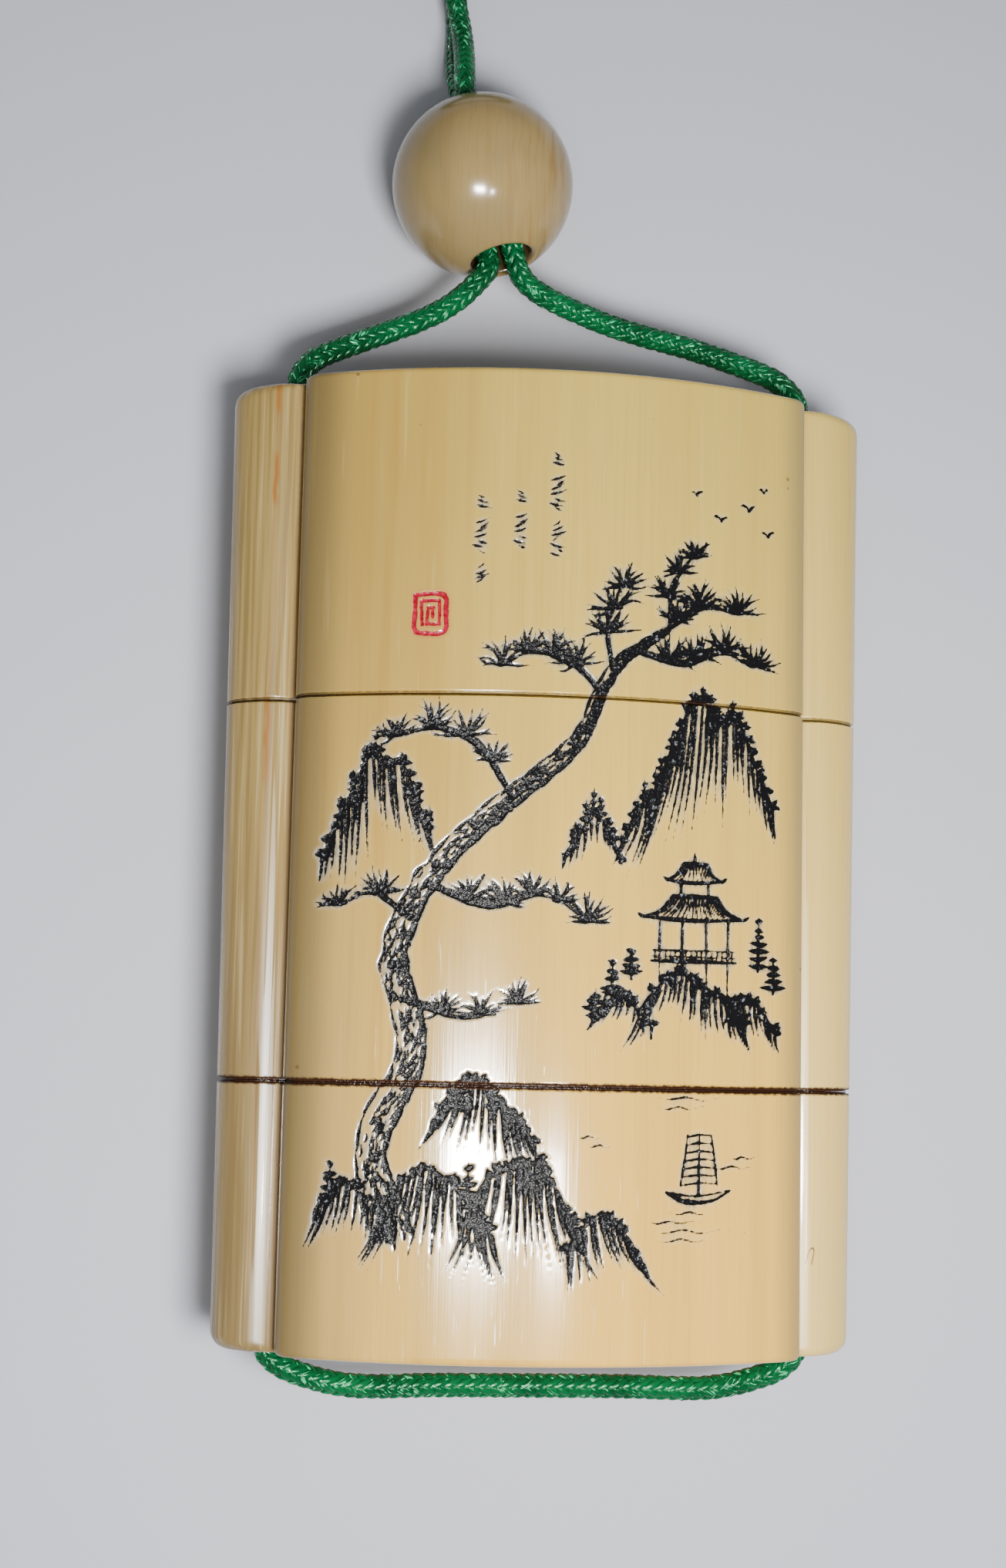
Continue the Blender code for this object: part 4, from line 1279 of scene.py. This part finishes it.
def braided_cord(name, route):
    """One length of the braid along a route: its object, its centre line and its length."""
    centre, length = smooth_route(route, BRAID_STEP)
    line = bpy.data.meshes.new(name)
    line.from_pydata(centre.tolist(), [(i, i + 1) for i in range(len(centre) - 1)], [])
    cord = placed(name, line)
    winding = CORD_DIAMETER / 2 - STRAND_HALF_THICKNESS - WEAVE_DEPTH
    grown(
        cord,
        braid,
        {
            "Strands": BRAID_STRANDS,
            "Pitch": BRAID_PITCH,
            "Winding Radius": winding,
            "Weave Depth": WEAVE_DEPTH,
            "Strand Half Width": STRAND_HALF_WIDTH,
            "Strand Flatness": STRAND_HALF_THICKNESS / STRAND_HALF_WIDTH,
            "Strand Sides": STRAND_SIDES,
            "Core Radius": winding * CORE_SHARE,
            "Finish": green_nylon,
        },
    )
    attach(cord, "root")
    return cord, centre, length


braid = braid_tree()
green_nylon = nylon()
held_cord, _, _ = braided_cord("braided_cord_in_case", HELD_ROUTE)
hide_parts("cord_through_case")
free_cord, free_centre, free_length = braided_cord("braided_cord_free", FREE_ROUTE)
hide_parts("cord_strand_left", "cord_strand_right", "cord_coil")


# The bead is one turned ball of darker ivory with a wide bore that both cord ends pass
# through. It slides on them and lies on the table beyond the lid.
BEAD_RIM_RADIUS = 0.5 * MM
BEAD_RIM_STEPS = 7
BEAD_SIDES = 96
BEAD_ARC_STEPS = 22
BEAD_BORE_STEPS = 5


def turned_bead():
    """The bead's profile, from the rounded rims over the ball and back through the bore,
    turned about the bore's axis."""
    rim_at = BEAD_BORE_RADIUS + BEAD_RIM_RADIUS
    rim_height = math.sqrt((BEAD_RADIUS - BEAD_RIM_RADIUS) ** 2 - rim_at**2)
    rim_turn = math.atan2(rim_height, rim_at)
    half = []
    for turn in np.linspace(math.pi, rim_turn, BEAD_RIM_STEPS + 1):
        out, up = BEAD_RIM_RADIUS * math.cos(turn), BEAD_RIM_RADIUS * math.sin(turn)
        half.append((rim_at + out, rim_height + up))
    for turn in np.linspace(rim_turn, 0, BEAD_ARC_STEPS + 1)[1:]:
        half.append((BEAD_RADIUS * math.cos(turn), BEAD_RADIUS * math.sin(turn)))
    levels = np.linspace(-rim_height, rim_height, BEAD_BORE_STEPS + 1)[1:-1]
    bore_steps = [(BEAD_BORE_RADIUS, level) for level in levels]
    profile = half + [(x, -z) for x, z in reversed(half[:-1])] + bore_steps
    turn_to_axis = bead_axis.to_track_quat("Z", "Y")
    points = []
    for turn in 2 * math.pi * np.arange(BEAD_SIDES) / BEAD_SIDES:
        for out, up in profile:
            spot = Vector((out * math.cos(turn), out * math.sin(turn), up))
            points.append(bead_centre + turn_to_axis @ spot)
    faces = []
    for side in range(BEAD_SIDES):
        here, there = side * len(profile), (side + 1) % BEAD_SIDES * len(profile)
        for k in range(len(profile)):
            after = (k + 1) % len(profile)
            faces.append((here + k, there + k, there + after, here + after))
    return placed("turned_bead", closed_mesh("turned_bead", points, faces))


def bead_ivory():
    """Tan, with the layers of the tusk as lines that crowd together towards its right side.
    Painted shade darkens its left side and the bore.
    """
    skin = Finish("bead_ivory")
    cloudy = skin.noise(skin.place, 150.0, 2.0)
    across = skin.x + skin.z * 0.12 + cloudy * (1.1 * MM)
    layers = skin.joined(across, skin.y * 0.05, skin.z * 0.05)
    bands = skin.noise(layers, 1500.0, 3.0, 0.6)
    fine = skin.noise(layers, 5200.0, 2.0)
    right_side = skin.x.ramp(bead_centre.x + 1 * MM, bead_centre.x + 7 * MM)
    # Painted shade on the bead's left side, away from the key.
    left_side = skin.x.ramp(bead_centre.x - 1 * MM, bead_centre.x - 8 * MM)
    # Painted shade on the wall and rims of the bore.
    from_centre = skin.vector("SUBTRACT", skin.place, tuple(bead_centre))
    along_bore = skin.vector("PROJECT", from_centre, tuple(bead_axis))
    off_bore = skin.vector("DISTANCE", from_centre, along_bore, output="Value")
    colour = skin.laid(
        skin.mix(cloudy.ramp(0.4, 0.65), (0.32, 0.225, 0.088), (0.28, 0.205, 0.088)),
        (bands.ramp(0.48, 0.66) * (0.12 + right_side * 0.5), (0.24, 0.115, 0.025)),
        (bands.ramp(0.46, 0.3) * (0.1 + right_side * 0.5), (0.42, 0.31, 0.12)),
        (fine.ramp(0.5, 0.7) * 0.2, (0.20, 0.13, 0.04)),
        (left_side * 0.5, (0.13, 0.105, 0.045)),
        (off_bore.ramp(3.2 * MM, 2.75 * MM) * 0.85, (0.045, 0.03, 0.012)),
        (skin.spot(-10.5, case_top / MM + 27.4, 0.2, 0.2) * 0.8, (0.10, 0.05, 0.02)),
    )
    skin.surface(
        {
            "Base Color": colour,
            "Roughness": 0.13 + fine * 0.08,
            "Specular IOR Level": 0.36,
            "Coat Weight": 0.1,
            "Coat Roughness": 0.05,
            "Normal": skin.bump(fine, 0.4, 0.005 * MM, skin.bump(cloudy, 0.5, 0.1 * MM)),
        }
    )
    return skin.material


bead = turned_bead()
bead.data.materials.append(bead_ivory())
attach(bead, "root")
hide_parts("sliding_bead")

[tuple(point) for point in free_centre[::3]] + [tuple(free_centre[-1])]


# A plain pale table top under a soft grey room. The key stands over the case's foot and
# gives all the direct light. The small flash and the wide window beside it only show as
# highlights in the polish: on the engraved panel, the wings, the bead and the cord.
TABLE_REACH = 2.0
TABLE_LEVEL = -0.1 * MM
ROOM_COLOUR = (0.92, 0.95, 1.0)
ROOM_STRENGTH = 0.25

corners = [(-TABLE_REACH, -TABLE_REACH), (TABLE_REACH, -TABLE_REACH)]
corners += [(TABLE_REACH, TABLE_REACH), (-TABLE_REACH, TABLE_REACH)]
table_mesh = bpy.data.meshes.new("table_top")
table_mesh.from_pydata([(x, y, TABLE_LEVEL) for x, y in corners], [], [(0, 1, 2, 3)])
table = placed("table_top", table_mesh)
pale = Finish("pale_table")
pale.surface({"Base Color": (0.52, 0.535, 0.60), "Roughness": 0.8})
table_mesh.materials.append(pale.material)

world = bpy.data.worlds.new("room")
bpy.context.scene.world = world
world.use_nodes = True
background = world.node_tree.nodes["Background"]
background.inputs["Color"].default_value = (*ROOM_COLOUR, 1.0)
background.inputs["Strength"].default_value = ROOM_STRENGTH


def soft_light(name, place, aim, size, power, colour):
    """A soft rectangle of light, in watts, its place, aim and size in millimetres."""
    data = bpy.data.lights.new(name, "AREA")
    data.shape = "RECTANGLE"
    data.size, data.size_y = (side * MM for side in size)
    data.energy = power
    data.color = colour
    lamp = placed(name, data)
    lamp.location = Vector(place) * MM
    lamp.rotation_euler = (Vector(aim) - Vector(place)).to_track_quat("-Z", "Y").to_euler()
    return lamp


key = soft_light("key", (14, -46, 195), (0, 0, 10), (50, 50), 0.80, (1.0, 0.985, 0.96))
key.visible_glossy = False
flash = soft_light("flash", (24, -41, 205), (24, -41, 0), (13, 17), 0.15, (1.0, 0.985, 0.96))
flash.visible_diffuse = False
window = soft_light("window", (-37, -33, 205), (-37, -33, 0), (42, 21), 1.3, (1.0, 0.98, 0.93))
window.visible_diffuse = False
